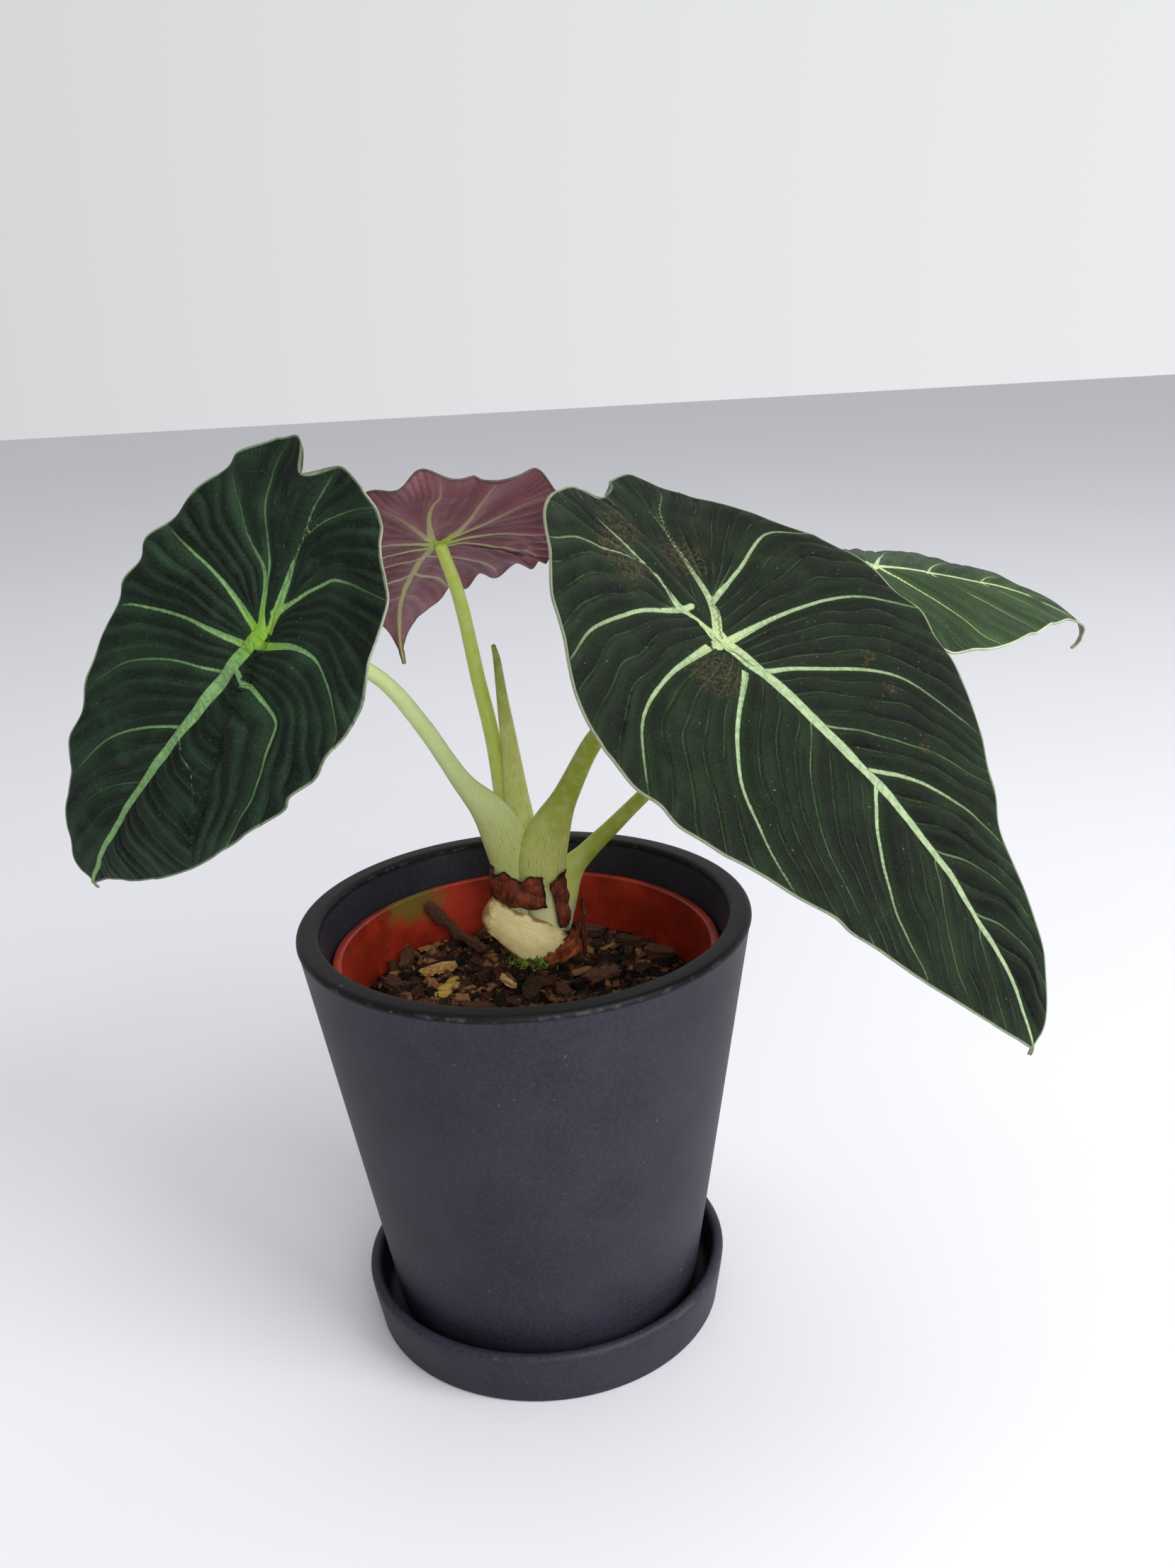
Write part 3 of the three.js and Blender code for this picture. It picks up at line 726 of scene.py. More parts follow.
def spline(points: Sequence[Sequence[float]], steps: int = 12) -> Array:
    """A smooth curve through points of any dimension.

    Args:
        points: What it passes through.
        steps: Its steps from one point to the next.

    Returns:
        The curve's points, one row each.
    """
    p = np.array(points, float)
    p = np.vstack([p[:1] * 2 - p[1:2], p, p[-1:] * 2 - p[-2:-1]])
    out = []
    for a, b, c, d in zip(p[:-3], p[1:-2], p[2:-1], p[3:]):
        for t in np.arange(steps) / steps:
            bend = (2 * a - 5 * b + 4 * c - d) * t**2 + (3 * b - a - 3 * c + d) * t**3
            out.append((2 * b + (c - a) * t + bend) / 2)
    return np.array([*out, p[-2]])


def resampled(curve: Array, shares: Array) -> Array:
    """Points of a curve at shares of its length."""
    lengths = np.r_[0, np.cumsum(np.linalg.norm(np.diff(curve, axis=0), axis=1))]
    return np.stack([np.interp(shares * lengths[-1], lengths, curve[:, k]) for k in range(curve.shape[1])], 1)


def perlin(points: Array, size: float, seed: float = 0.0) -> Array:
    """Smooth noise from -1 to 1 at points in millimetres, with features of a size."""
    shift = Vector((seed * 17.3, seed * 5.1, seed * 9.7))
    return np.array([noise.noise(Vector(p) / size + shift) for p in points])


def ridged(points: Array, size: float, seed: float = 0.0) -> Array:
    """Creased noise, 0 in its folds and up to 1 between them."""
    return np.abs(perlin(points, size, seed)) * 1.6 + np.abs(perlin(points, size * 0.45, seed + 3)) * 0.6


def outward(piece: bpy.types.Object) -> Array:
    """The outward direction at each corner point of a mesh.

    Args:
        piece: The mesh object.

    Returns:
        Rows of X, Y and Z.
    """
    found = np.zeros(len(piece.data.vertices) * 3)
    piece.data.vertices.foreach_get("normal", found)
    return found.reshape(-1, 3)


def nearest(places: Array, line: Array) -> tuple[Array, Array, Array]:
    """Where a flat line comes nearest to flat places.

    Args:
        places: Rows of two numbers.
        line: The line's points, one row each.

    Returns:
        Each place's distance, the share of the line's steps where the line is nearest, and a number that is
        above 0 when the place lies to the left of it.
    """
    start, step = line[:-1], np.diff(line, axis=0)
    rel = places[:, None, :] - start[None]
    t = np.clip((rel * step).sum(2) / np.maximum((step**2).sum(1), 1e-6), 0, 1)
    off = rel - t[:, :, None] * step
    distance = np.linalg.norm(off, axis=2)
    best = distance.argmin(1)
    rows = np.arange(len(places))
    turn = step[best, 0] * off[rows, best, 1] - step[best, 1] * off[rows, best, 0]
    return distance[rows, best], (best + t[rows, best]) / len(step), turn


def rod(name: str, route: Sequence[Sequence[float]], around: int = 28, steps: int = 7) -> bpy.types.Object:
    """A closed rod of oval section: a grid rolled round a smooth curve, its ends drawn to points.

    Args:
        name: The piece's name.
        route: x, y, z, half width and half depth in millimetres of each point.
        around: Sides of the section.
        steps: Rings between two points of the route.

    Returns:
        The object.
    """
    line = spline(route, steps)
    rings = len(line)
    piece, u, v = grid(name, around, rings + 3)
    cap = np.array([0, 0, *range(rings), rings - 1, rings - 1])
    shrink = np.array([0.0, 0.6, *[1.0] * rings, 0.6, 0.0])
    push = np.array([-0.5, -0.35, *[0.0] * rings, 0.35, 0.5])
    row = np.rint(v * (rings + 3)).astype(int)
    ahead = np.gradient(line[:, :3], axis=0)
    ahead /= np.linalg.norm(ahead, axis=1)[:, None]
    side = np.cross((0, -1, 0), ahead)
    side /= np.linalg.norm(side, axis=1)[:, None]
    face = np.cross(ahead, side)
    at = cap[row]
    turn = u * 2 * math.pi
    size = shrink[row][:, None]
    points = line[at, :3] + ahead[at] * (push[row] * line[at, 4])[:, None]
    points = points + side[at] * (np.cos(turn) * line[at, 3])[:, None] * size
    points = points + face[at] * (np.sin(turn) * line[at, 4])[:, None] * size
    move_corners(piece, points)
    tidy_mesh(piece, merge=0.01)
    smooth(piece, 60)
    return piece



def node_box(node: str) -> tuple[Array, Array]:
    """A frame node's lowest and highest corner in millimetres."""
    low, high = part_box(node)
    return np.array(low) / MM, np.array(high) / MM


def dress(piece: bpy.types.Object, finishes: Sequence[bpy.types.Material]) -> None:
    """Gives a mesh its material slots in order."""
    for finish in finishes:
        piece.data.materials.append(finish)


@dataclass
class Register:
    """Fastens finished pieces to the frame and reports them."""

    body: str = "root"

    def fit(
        self, piece: bpy.types.Object, finishes: Sequence[bpy.types.Material], slot: str, *nodes: str
    ) -> bpy.types.Object:
        """Dresses a piece and says which frame nodes it stands for.

        Args:
            piece: The finished mesh, with its place in its mesh.
            finishes: Its materials, in the order of its material slots.
            slot: Not used.
            nodes: The frame nodes it replaces.

        Returns:
            The piece.
        """
        if not piece.data.materials:
            dress(piece, finishes)
        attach(piece, self.body)
        if nodes:
            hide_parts(*nodes)
        LOG.info("%s: %d faces, for %s", piece.name, len(piece.data.polygons), ", ".join(nodes) or "detail")
        return piece


# ---- Pots ------------------------------------------------------------------------------------------------


CROWN_OVAL = 0.82  # depth of the rhizome over its width
RHIZOME_SHOWS = 6  # mm that the rhizome stands out of the mix


@dataclass
class Pots:
    """The planter, its saucer and the nursery pot inside it."""

    register: Register
    planter_wall: float = 7.0
    planter_floor: float = 6.0
    base_radius: float = 48.8
    rim_rounding: float = 1.7
    saucer_wall: float = 3.6
    saucer_floor: float = 4.8
    saucer_base: float = 56.2
    nursery_base: float = 41.5
    nursery_wall: float = 1.2
    nursery_lip: float = 1.6
    lip_height: float = 4.0
    drainage_holes: int = 6
    hole_radius: float = 4.0

    def build(self) -> None:
        """Builds the three pots."""
        self.saucer()
        self.planter()
        self.nursery_pot()

    def saucer(self) -> None:
        """A shallow dish with a rounded lip."""
        low, high = node_box("saucer")
        top, rim, base = high[2], high[0], self.saucer_base
        half = self.saucer_wall / 2
        profile = [(base - 3, low[2]), (base - 1.2, low[2]), *arc((base - 1.1, low[2] + 1.1), 1.1, -70, 0, 4)]
        profile += [(rim - 0.5, top - half - 4)]
        profile += arc((rim - half, top - half), half, 0, 180, 10)
        inner, floor = rim - self.saucer_wall, self.saucer_floor
        profile += [(inner - 1.2, floor + 2.4), *arc((inner - 3.4, floor + 2.2), 2.2, 0, -90, 5)]
        profile += [(inner - 9, floor), (8, floor)]
        piece = turned("dish", profile)
        self.register.fit(piece, [MatteCeramic(top).material()], "charcoal_ceramic", "saucer")

    def planter(self) -> None:
        """A straight tapered pot with a thick rounded rim."""
        low, high = node_box("planter")
        foot, top, rim = low[2], high[2], high[0]
        r, wall = self.rim_rounding, self.planter_wall
        slope = (rim - self.base_radius) / (top - foot)
        outer = [(self.base_radius + slope * z, foot + z) for z in np.linspace(2, top - foot - r - 1, 14)]
        profile = [(self.base_radius - 4, foot), (self.base_radius - 1.0, foot)]
        profile += [(self.base_radius - 0.2, foot + 0.5), *outer]
        profile += arc((rim - r, top - r), r, 0, 90, 7)
        profile += arc((rim - wall + r, top - r), r, 90, 180, 7)
        floor = foot + self.planter_floor
        inner = [(x - wall, z) for x, z in reversed(outer) if z > floor + 4]
        profile += inner + [(inner[-1][0] - 1.2, floor + 1.4), (inner[-1][0] - 3, floor), (8, floor)]
        piece = turned("cover_pot", profile)
        self.register.fit(piece, [MatteCeramic(top, 2.4).material()], "charcoal_ceramic", "planter")

    def nursery_pot(self) -> None:
        """A thin plastic pot with a lip and drainage holes."""
        low, high = node_box("nursery_pot")
        foot, top, rim = low[2], high[2], high[0]
        base, wall, lip_foot = self.nursery_base, self.nursery_wall, top - self.lip_height
        side = rim - self.nursery_lip
        profile = [(base - 1, foot), (base, foot + 0.8), (side - 0.3, lip_foot - 0.4)]
        profile += [(rim - 0.3, lip_foot), (rim, lip_foot + 0.5), (rim, top - 0.9)]
        inner = side - wall
        profile += [(rim - 0.3, top - 0.3), (rim - 0.9, top), (inner + 0.5, top), (inner, top - 0.5)]
        profile += [(inner - 0.1, top - 3), (base - wall + 0.2, foot + wall + 1)]
        profile += [(base - wall - 1, foot + wall), (8, foot + wall)]
        piece = turned("grow_pot", profile, 128)
        out = base * 0.6 * MM
        for k in range(self.drainage_holes):
            turn = 2 * math.pi * k / self.drainage_holes
            middle = (math.cos(turn) * out, math.sin(turn) * out, (foot + 0.6) * MM)
            bare()
            bpy.ops.mesh.primitive_cylinder_add(
                vertices=32, radius=self.hole_radius * MM, depth=wall * 6 * MM, location=middle
            )
            cutter = bpy.context.object
            apply_modifier(piece, "BOOLEAN", operation="DIFFERENCE", solver="EXACT", object=cutter)
            bpy.data.objects.remove(cutter)
        smooth(piece, 32)
        finish = NurseryPlastic((-36, 42, top - 2)).material()
        self.register.fit(piece, [finish], "red_plastic", "nursery_pot")


# ---- Leaves ----------------------------------------------------------------------------------------------


LOBE_REACH = 80.0  # mm behind the stalk that a leaf may reach
WALK_STEP = 0.5  # mm
VEIN_GAP = 14.0  # mm between main veins where a leaf has none


class Side(Enum):
    """The two halves of a leaf."""

    LEFT = -1
    RIGHT = 1


@dataclass
class LeafShape:
    """A leaf's pose, outline and main veins.

    Places (across, along) are millimetres from where the stalk joins, and at is that place from the crown.
    heading, dip, roll, arch, sweep and twist are degrees.  fold lifts each side at (lobes, stalk, tip) and
    curl rolls its margin down, in degrees.  The veins of each half run from the notch round to the tip, and
    each has a width share.
    """

    at: tuple[float, float, float]
    heading: float
    dip: float
    roll: float
    length: float
    half_width: float
    arch: float
    lobe_arch: float
    sweep: float
    twist: float
    fold_right: tuple[float, float, float]
    fold_left: tuple[float, float, float]
    curl_right: float
    curl_left: float
    right: Points
    base: Points
    left: Points
    notch: int
    veins_right: Sequence[tuple[float, Points]]
    veins_left: Sequence[tuple[float, Points]]
    sinus: Points = ()
    tail: float = 8.0
    hook: float = 70.0
    quilt: float = 0.5
    ruffle: float = 1.0
    ruffle_length: float = 24.0
    crumple: float = 0.4
    fine_gap: float = 4.6
    rib_width: float = 1.8
    steps: Array = field(init=False, repr=False)
    spine: Array = field(init=False, repr=False)
    side: Array = field(init=False, repr=False)
    lift: Array = field(init=False, repr=False)

    def __post_init__(self) -> None:
        """Walks the midrib both ways from the stalk and keeps its points and directions."""
        heading, dip = math.radians(self.heading), math.radians(self.dip)
        flat_out = math.cos(dip)
        along = np.array([math.cos(heading) * flat_out, math.sin(heading) * flat_out, -math.sin(dip)])
        flat = Vector((math.sin(heading), -math.cos(heading), 0))
        across = np.array(Matrix.Rotation(math.radians(self.roll), 3, Vector(along)) @ flat)
        up = np.cross(across, along)
        self.steps = np.arange(-LOBE_REACH, self.length + self.tail + 1.0, WALK_STEP)
        t = self.steps / self.length
        forward = np.maximum(t, 0)
        bend = np.radians(np.where(t > 0, self.arch * forward**1.5, -self.lobe_arch * t))
        over = np.clip((self.steps - self.length + 2) / (self.tail + 2), 0, 1)
        bend += np.radians(self.hook) * over**1.3
        turn = np.radians(self.sweep * forward**1.3)
        ahead = (
            np.outer(np.cos(bend) * np.cos(turn), along)
            + np.outer(np.cos(bend) * np.sin(turn), across)
            - np.outer(np.sin(bend), up)
        )
        walked = np.cumsum(ahead, axis=0) * WALK_STEP
        start = int(np.argmin(np.abs(self.steps)))
        side = across - ahead * (ahead @ across)[:, None]
        side /= np.linalg.norm(side, axis=1)[:, None]
        wound = np.radians(self.twist * t)[:, None]
        lift = np.cross(side, ahead)
        self.spine = walked - walked[start] + np.array(self.at)
        self.side = side * np.cos(wound) + lift * np.sin(wound)
        self.lift = lift * np.cos(wound) - side * np.sin(wound)

    def along_rib(self, table: Array, s: Array) -> Array:
        """Rows of a table of the midrib at distances from the stalk."""
        return np.stack([np.interp(s, self.steps, table[:, k]) for k in range(3)], 1)

    def surface(self, flat: Array) -> tuple[Array, Array]:
        """Bends flat leaf places into space.

        Args:
            flat: Rows of (across, along).

        Returns:
            The points and the upward normals.
        """
        v, s = flat[:, 0], flat[:, 1]
        t = s / self.length
        spine, side, lift = (self.along_rib(table, s) for table in (self.spine, self.side, self.lift))
        right = v >= 0
        lobe, stalk, tip = (np.where(right, a, b) for a, b in zip(self.fold_right, self.fold_left))
        tipward = stalk + (tip - stalk) * np.clip(t, 0, 1)
        fold = np.where(t >= 0, tipward, stalk + (lobe - stalk) * np.clip(-t / 0.4, 0, 1.2))
        curl = np.where(right, self.curl_right, self.curl_left) * np.abs(v) / self.half_width
        middle, edge = np.radians(fold - curl / 2), np.radians(fold - curl)
        point = spine + side * (v * np.cos(middle))[:, None] + lift * (np.abs(v) * np.sin(middle))[:, None]
        return point, lift * np.cos(edge)[:, None] - side * (np.sign(v) * np.sin(edge))[:, None]

    def flatten(self, u: Array, w: Array) -> Array:
        """Places of the grid's corners on the flat leaf.

        Args:
            u: Share from the left margin to the right one.
            w: Share from the tip to the base.

        Returns:
            Rows of (across, along).
        """
        notch = self.base[self.notch]
        tip = self.length + self.tail
        rows = np.unique(np.round(w, 6))
        joint = tip / (tip + math.hypot(*notch))
        sinus = spline([(0, 0), *self.sinus, tuple(notch)])
        tipward = resampled(np.array([(0, tip), (0, 0)], float), np.clip(rows / joint, 0, 1))
        inner = resampled(sinus, np.clip((rows - joint) / (1 - joint), 0, 1))
        midline = np.where((rows <= joint)[:, None], tipward, inner)
        flat = np.zeros((len(u), 2))
        order = {r: i for i, r in enumerate(rows)}
        row = np.array([order[r] for r in np.round(w, 6)])
        for half in Side:
            margin = resampled(self.margin(half), rows)
            base = self.base[: self.notch + 1][::-1] if half is Side.RIGHT else self.base[self.notch :]
            c = np.clip(np.abs(u - 0.5) * 2, 0, 1)
            mine = (u >= 0.5) if half is Side.RIGHT else (u < 0.5)
            foot = resampled(spline(base), c)
            b = rows[row]
            tip_point = midline[0] * (1 - c)[:, None] + margin[0] * c[:, None]
            sides = midline[row] * (1 - c)[:, None] + margin[row] * c[:, None]
            ends_part = tip_point * (1 - b)[:, None] + foot * b[:, None]
            bottom = midline[-1] * (1 - c)[:, None] + margin[-1] * c[:, None]
            flat[mine] = (sides + ends_part - tip_point * (1 - b)[:, None] - bottom * b[:, None])[mine]
        return flat

    def margin(self, half: Side) -> Array:
        """The margin of one half, from its drip tip to the end of its lobe.

        Args:
            half: The half.

        Returns:
            Rows of (across, along).
        """
        points = self.right if half is Side.RIGHT else self.left
        drip = [(0.5, self.length + self.tail), (0.9, self.length + self.tail * 0.6)]
        drip.append((1.3, self.length + self.tail * 0.3))
        return spline([*[(x * half.value, y) for x, y in drip], *points[1:]])

    def outline(self) -> Array:
        """The whole margin, from the drip tip down the right half and back up the left one."""
        return np.vstack([self.margin(Side.RIGHT), spline(self.base), self.margin(Side.LEFT)[::-1]])

    def trunk(self, flat: Array) -> Array:
        """Distance outside the nearest main vein, below 0 inside it.

        Args:
            flat: Rows of (across, along).

        Returns:
            The distance of each place in millimetres.
        """
        flare = 1 + 0.75 * np.clip(1 - np.hypot(flat[:, 0], flat[:, 1] + 1) / 24, 0, 1)
        found = []
        for share, points in (*self.veins_right, *self.veins_left):
            curve = spline(points, 8)
            back = curve[0] - curve[1]
            root = 3 if abs(curve[0][0]) < 4.5 else 0.01
            gap, along, _ = nearest(flat, np.vstack([curve[0] + back / np.linalg.norm(back) * root, curve]))
            found.append(gap - share * (0.86 - 0.6 * along) * flare)
        return np.min(found, axis=0)

    def vein_fields(self, flat: Array, half: Side) -> Array:
        """Where each place lies between the veins of one half.

        Args:
            flat: Rows of (across, along).
            half: The half whose veins count.

        Returns:
            Rows of (vein phase, spacing, fine phase, half width of the nearest vein, fine spacing).
        """
        veins = self.veins_right if half is Side.RIGHT else self.veins_left
        gaps, sides, halves = [], [], []
        for share, points in veins:
            curve = spline(points, 8)
            ahead, back = curve[-1] - curve[-2], curve[0] - curve[1]
            root = 14 if curve[0][1] > 20 else 3
            line = np.vstack([curve[0] + back / np.linalg.norm(back) * root, curve, curve[-1] + ahead * 12])
            gap, along, turn = nearest(flat, line)
            gaps.append(gap)
            sides.append(turn * half.value > 0)
            halves.append(share * (0.74 - 0.52 * along))
        gaps, sides, halves = np.array(gaps), np.array(sides), np.array(halves)
        passed = np.cumprod(sides, axis=0).sum(0)
        last = len(veins) - 1
        places = np.arange(len(flat))
        below, above = np.clip(passed - 1, 0, last), np.clip(passed, 0, last)
        before, after = gaps[below, places], gaps[above, places]
        inside = (passed > 0) & (passed <= last)
        spacing = np.where(inside, before + after, VEIN_GAP)
        ratio = before / np.maximum(before + after, 1e-3)
        outside = np.where(passed > last, last + before / VEIN_GAP, -after / VEIN_GAP)
        phase = np.where(inside, below + ratio, outside)
        typical = []
        for k in range(last):
            here = passed == k + 1
            typical.append(np.median((gaps[k] + gaps[k + 1])[here]) if here.any() else VEIN_GAP)
        counts = np.array([max(2, round(x / self.fine_gap)) for x in typical] + [3])
        starts = np.r_[0, np.cumsum(counts[:-1])]
        index = np.clip(np.floor(phase).astype(int), 0, last)
        wander = np.column_stack([flat, np.full(len(flat), 9.0)])
        fine = np.where(phase < 0, phase * 3, starts[index] + (phase - index) * counts[index])
        fine = fine + 0.32 * perlin(wander, 13, 2) * np.clip(before.clip(max=after) / 4, 0, 1)
        width = np.where(phase - np.floor(phase) < 0.5, halves[below, places], halves[above, places])
        width = np.where(phase > last + 0.45, 0.0, np.where(phase < -0.45, 0.0, width))
        return np.stack([phase, spacing, fine, width, spacing / counts[index]], 1)


@dataclass
class Blade:
    """A leaf blade as a fine quilted sheet with a drip tip."""

    name: str
    node: str
    shape: LeafShape
    upper: LeafSkin
    under: LeafSkin
    slot: str
    thickness: float = 0.55
    across: int = 150
    along: int = 190

    def build(self, register: Register, crown: Array) -> None:
        """Makes the blade, its vein fields and its two skins.

        Args:
            register: Fits the finished piece.
            crown: The crown's place in millimetres.
        """
        leaf = self.shape
        piece, u, w = grid(self.name, self.across, self.along)
        flat = leaf.flatten(u, w)
        fields = {half: leaf.vein_fields(flat, half) for half in Side}
        edge, _, _ = nearest(flat, leaf.outline())
        rib = self.rib_distance(flat)
        point, normal = leaf.surface(flat)
        mine = np.where((u >= 0.5)[:, None], fields[Side.RIGHT], fields[Side.LEFT])
        height = self.relief(flat, mine, edge, rib, np.abs(u - 0.5) * 2)
        move_corners(piece, point + normal * height[:, None] + crown)
        self.write_fields(piece, fields, rib)
        store(piece, "blade", np.column_stack([flat, edge]))
        store(piece, "trunk", np.column_stack([leaf.trunk(flat)] * 3))
        self.face_up(piece, normal)
        dress(piece, [self.upper.material(), self.under.material()])
        skins = {"material_offset": 1, "material_offset_rim": 1}
        apply_modifier(piece, "SOLIDIFY", thickness=self.thickness * MM, offset=-1.0, **skins)
        smooth(piece, 70)
        register.fit(piece, [], self.slot, self.node)

    def rib_distance(self, flat: Array) -> Array:
        """Distance outside the midrib, below 0 inside it.

        Args:
            flat: Rows of (across, along).

        Returns:
            The distance of each place in millimetres.
        """
        leaf = self.shape
        v, s = flat[:, 0], flat[:, 1]
        share = np.clip(s / leaf.length, 0, 1)
        half = leaf.rib_width * (1 - 0.8 * share**0.8)
        below = np.hypot(v, np.minimum(s, 0)) - leaf.rib_width * 1.05
        return np.where(s > 0, np.abs(v) - half, below)

    def relief(self, flat: Array, fields: Array, edge: Array, rib: Array, out: Array) -> Array:
        """Height of the quilting, grooves, crumples and ruffled margin over the smooth blade.

        Args:
            flat: Rows of (across, along).
            fields: Rows of the vein fields.
            edge: Distance to the margin.
            rib: Distance outside the midrib.
            out: Share of the way from the middle of the leaf to its margin.

        Returns:
            The height of each place in millimetres.
        """
        leaf = self.shape
        phase, spacing, fine, half, fine_spacing = fields.T
        to_vein = np.abs((phase + 0.5) % 1 - 0.5) * spacing
        inland = np.clip(edge / 7, 0, 1)
        puff = np.abs(np.sin(np.pi * fine)) ** 0.8 * np.clip(fine_spacing / leaf.fine_gap * 1.3 - 0.3, 0, 1.3)
        puff *= np.clip(to_vein / 3.5, 0, 1) * np.clip(np.maximum(rib, 0) / 5, 0, 1) * inland
        puff *= np.clip(out * 9, 0, 1)
        space = np.column_stack([flat, np.zeros(len(flat))])
        uneven = 0.7 + 0.6 * perlin(space, 16, leaf.length)
        groove = np.exp(-((to_vein / 3.0) ** 2)) * np.clip(half * 2, 0, 1)
        height = leaf.quilt * (puff * uneven - 0.9 * groove * inland * np.clip(out * 9, 0, 1))
        valley = np.clip((flat[:, 1] + 16) / 20, 0, 1) ** 2 * np.exp(-((np.maximum(rib, 0) / 3.5) ** 2))
        height -= leaf.quilt * 0.8 * valley
        coarse = leaf.crumple * perlin(space, 19, leaf.length + 2)
        height += coarse + leaf.crumple * 0.4 * perlin(space, 8, leaf.length + 5)
        angle = np.abs(np.arctan2(flat[:, 0], flat[:, 1] - 15)) * (leaf.half_width + leaf.length / 2) / 1.6
        wave = np.sin(angle * 2 * np.pi / leaf.ruffle_length + 9 * perlin(space + (0, 0, 31), 45, 4))
        tip_fade = np.clip((leaf.length - 8 - flat[:, 1]) / 25, 0, 1)
        height += leaf.ruffle * wave * np.exp(-edge / 6.5) * tip_fade
        return height

    def write_fields(self, piece: bpy.types.Object, fields: dict[Side, Array], rib: Array) -> None:
        """Stores the vein fields that the skins read, each half of the leaf with its own.

        Args:
            piece: The blade before it has a thickness.
            fields: The vein fields of each half.
            rib: Distance outside the midrib.
        """
        loops = np.zeros(len(piece.data.loops), int)
        piece.data.loops.foreach_get("vertex_index", loops)
        middle = np.zeros(len(piece.data.polygons) * 3)
        piece.data.polygons.foreach_get("center", middle)
        uv = np.zeros(len(loops) * 2)
        piece.data.uv_layers[0].uv.foreach_get("vector", uv)
        sizes = np.zeros(len(piece.data.polygons), int)
        piece.data.polygons.foreach_get("loop_total", sizes)
        face_u = np.add.reduceat(uv[::2], np.r_[0, np.cumsum(sizes)[:-1]]) / sizes
        right = np.repeat(face_u > 0.5, sizes)
        chosen = np.where(right[:, None], fields[Side.RIGHT][loops], fields[Side.LEFT][loops])
        store(piece, "veins", chosen[:, :3], "CORNER")
        store(piece, "widths", np.column_stack([chosen[:, 3], rib[loops], chosen[:, 4]]), "CORNER")

    def face_up(self, piece: bpy.types.Object, normal: Array) -> None:
        """Turns the sheet over if its faces point down.

        Args:
            piece: The blade before it has a thickness.
            normal: The upward direction at each corner.
        """
        if (outward(piece) * normal).sum() < 0:
            bare()
            piece.select_set(True)
            bpy.context.view_layer.objects.active = piece
            bpy.ops.object.mode_set(mode="EDIT")
            bpy.ops.mesh.select_all(action="SELECT")
            bpy.ops.mesh.flip_normals()
            bpy.ops.object.mode_set(mode="OBJECT")


VELVET = LeafColours(
    tissue=rgb("0f1d0b"),
    shadow=rgb("040803"),
    bloom_and_highlight=rgb("213419"),
    vein=rgb("9db188"),
    fine_vein=rgb("5d7352"),
    margin=rgb("7f8a70"),
    hub=rgb("a8ba84"),
)
VELVET_LEFT = LeafColours(
    tissue=rgb("192b1b"),
    shadow=rgb("080f09"),
    bloom_and_highlight=rgb("314a34"),
    vein=rgb("86b070"),
    fine_vein=rgb("4d6a4a"),
    margin=rgb("7d8a70"),
    hub=rgb("7fae2c"),
)
FRESH = LeafColours(
    tissue=rgb("203b12"),
    shadow=rgb("102309"),
    bloom_and_highlight=rgb("33511f"),
    vein=rgb("b9cb95"),
    fine_vein=rgb("83a068"),
    margin=rgb("c0cfa6"),
    hub=rgb("b9cb78"),
)
BURGUNDY = LeafColours(
    tissue=rgb("814952"),
    shadow=rgb("663641"),
    bloom_and_highlight=rgb("a06c72"),
    vein=rgb("a5a85a"),
    fine_vein=rgb("b08a7c"),
    margin=rgb("3d3a30"),
    hub=rgb("a4bd3a"),
)
GREY_UNDER = LeafColours(
    tissue=rgb("6c5a58"),
    shadow=rgb("574348"),
    bloom_and_highlight=rgb("8d8078"),
    vein=rgb("a9b87e"),
    fine_vein=rgb("93967a"),
    margin=rgb("8f967e"),
    hub=rgb("a4bd5a"),
)


def left_shape() -> LeafShape:
    """The large leaf on the left, whose face looks forwards.

    Returns:
        Its shape.
    """
    return LeafShape(
        at=(-69.4, -55.8, 118.2), heading=162.4, dip=44.1, roll=-65.9, length=118, half_width=43,
        arch=28.5, lobe_arch=19.7, sweep=6.1, twist=12.8,
        fold_right=(6, 5, 10), fold_left=(11, 6, 3), curl_right=7, curl_left=3,
        right=[(1.5, 117), (9, 110), (19, 90), (29, 62), (38, 38), (45, 14), (45, -6), (42, -22), (35, -38)],
        base=[(35, -38), (27, -45), (19, -40), (11, -50), (-4, -53), (-20, -49), (-33, -38)],
        left=[
            (-1.5, 117), (-7, 108), (-19, 88), (-29, 67), (-35, 48), (-41, 24), (-43, 2), (-41, -20),
            (-33, -38),
        ],
        notch=2,
        veins_right=[
            (0.7, [(1.4, -3), (10.6, -12.4), (16, -18), (28, -31), (31, -40)]),
            (0.9, [(1.5, 0), (2.6, -3), (11.4, -11.2), (20, -14), (38, -22)]),
            (1.0, [(2, 0), (19, 0), (32, 2), (42, 4)]),
            (1.0, [(2, 6), (19, 15), (34, 26), (38, 30)]),
            (0.6, [(2, 17), (15, 27), (25, 39), (29, 51)]),
            (0.7, [(2, 41), (10, 51), (16, 63), (19, 80)]),
            (0.3, [(1, 66), (7, 75), (11, 86), (12, 98)]),
        ],
        veins_left=[
            (0.9, [(0, -6), (5, -18), (9, -31), (12, -45)]),
            (0.7, [(-0.8, -6), (4.2, -18), (8.1, -29), (2, -43), (-7, -53)]),
            (0.9, [(0, -10), (-6, -26), (-13, -33), (-28, -42)]),
            (1.0, [(-4, 0), (-12, -8), (-21, -12), (-32, -11), (-41, -5)]),
            (1.0, [(-3, 12), (-18, 10), (-24, 13), (-30, 26), (-35, 47)]),
            (0.7, [(-2, 42), (-12, 42), (-20, 49), (-23, 62)]),
            (0.3, [(-1, 68), (-8, 73), (-12, 84), (-13, 97)]),
        ],
        sinus=[(3.2, -6), (10.2, -18), (17, -30)],
        tail=11, hook=25, quilt=1.8, ruffle=1.3, ruffle_length=30, crumple=1.9, fine_gap=4.8, rib_width=2.1,
    )


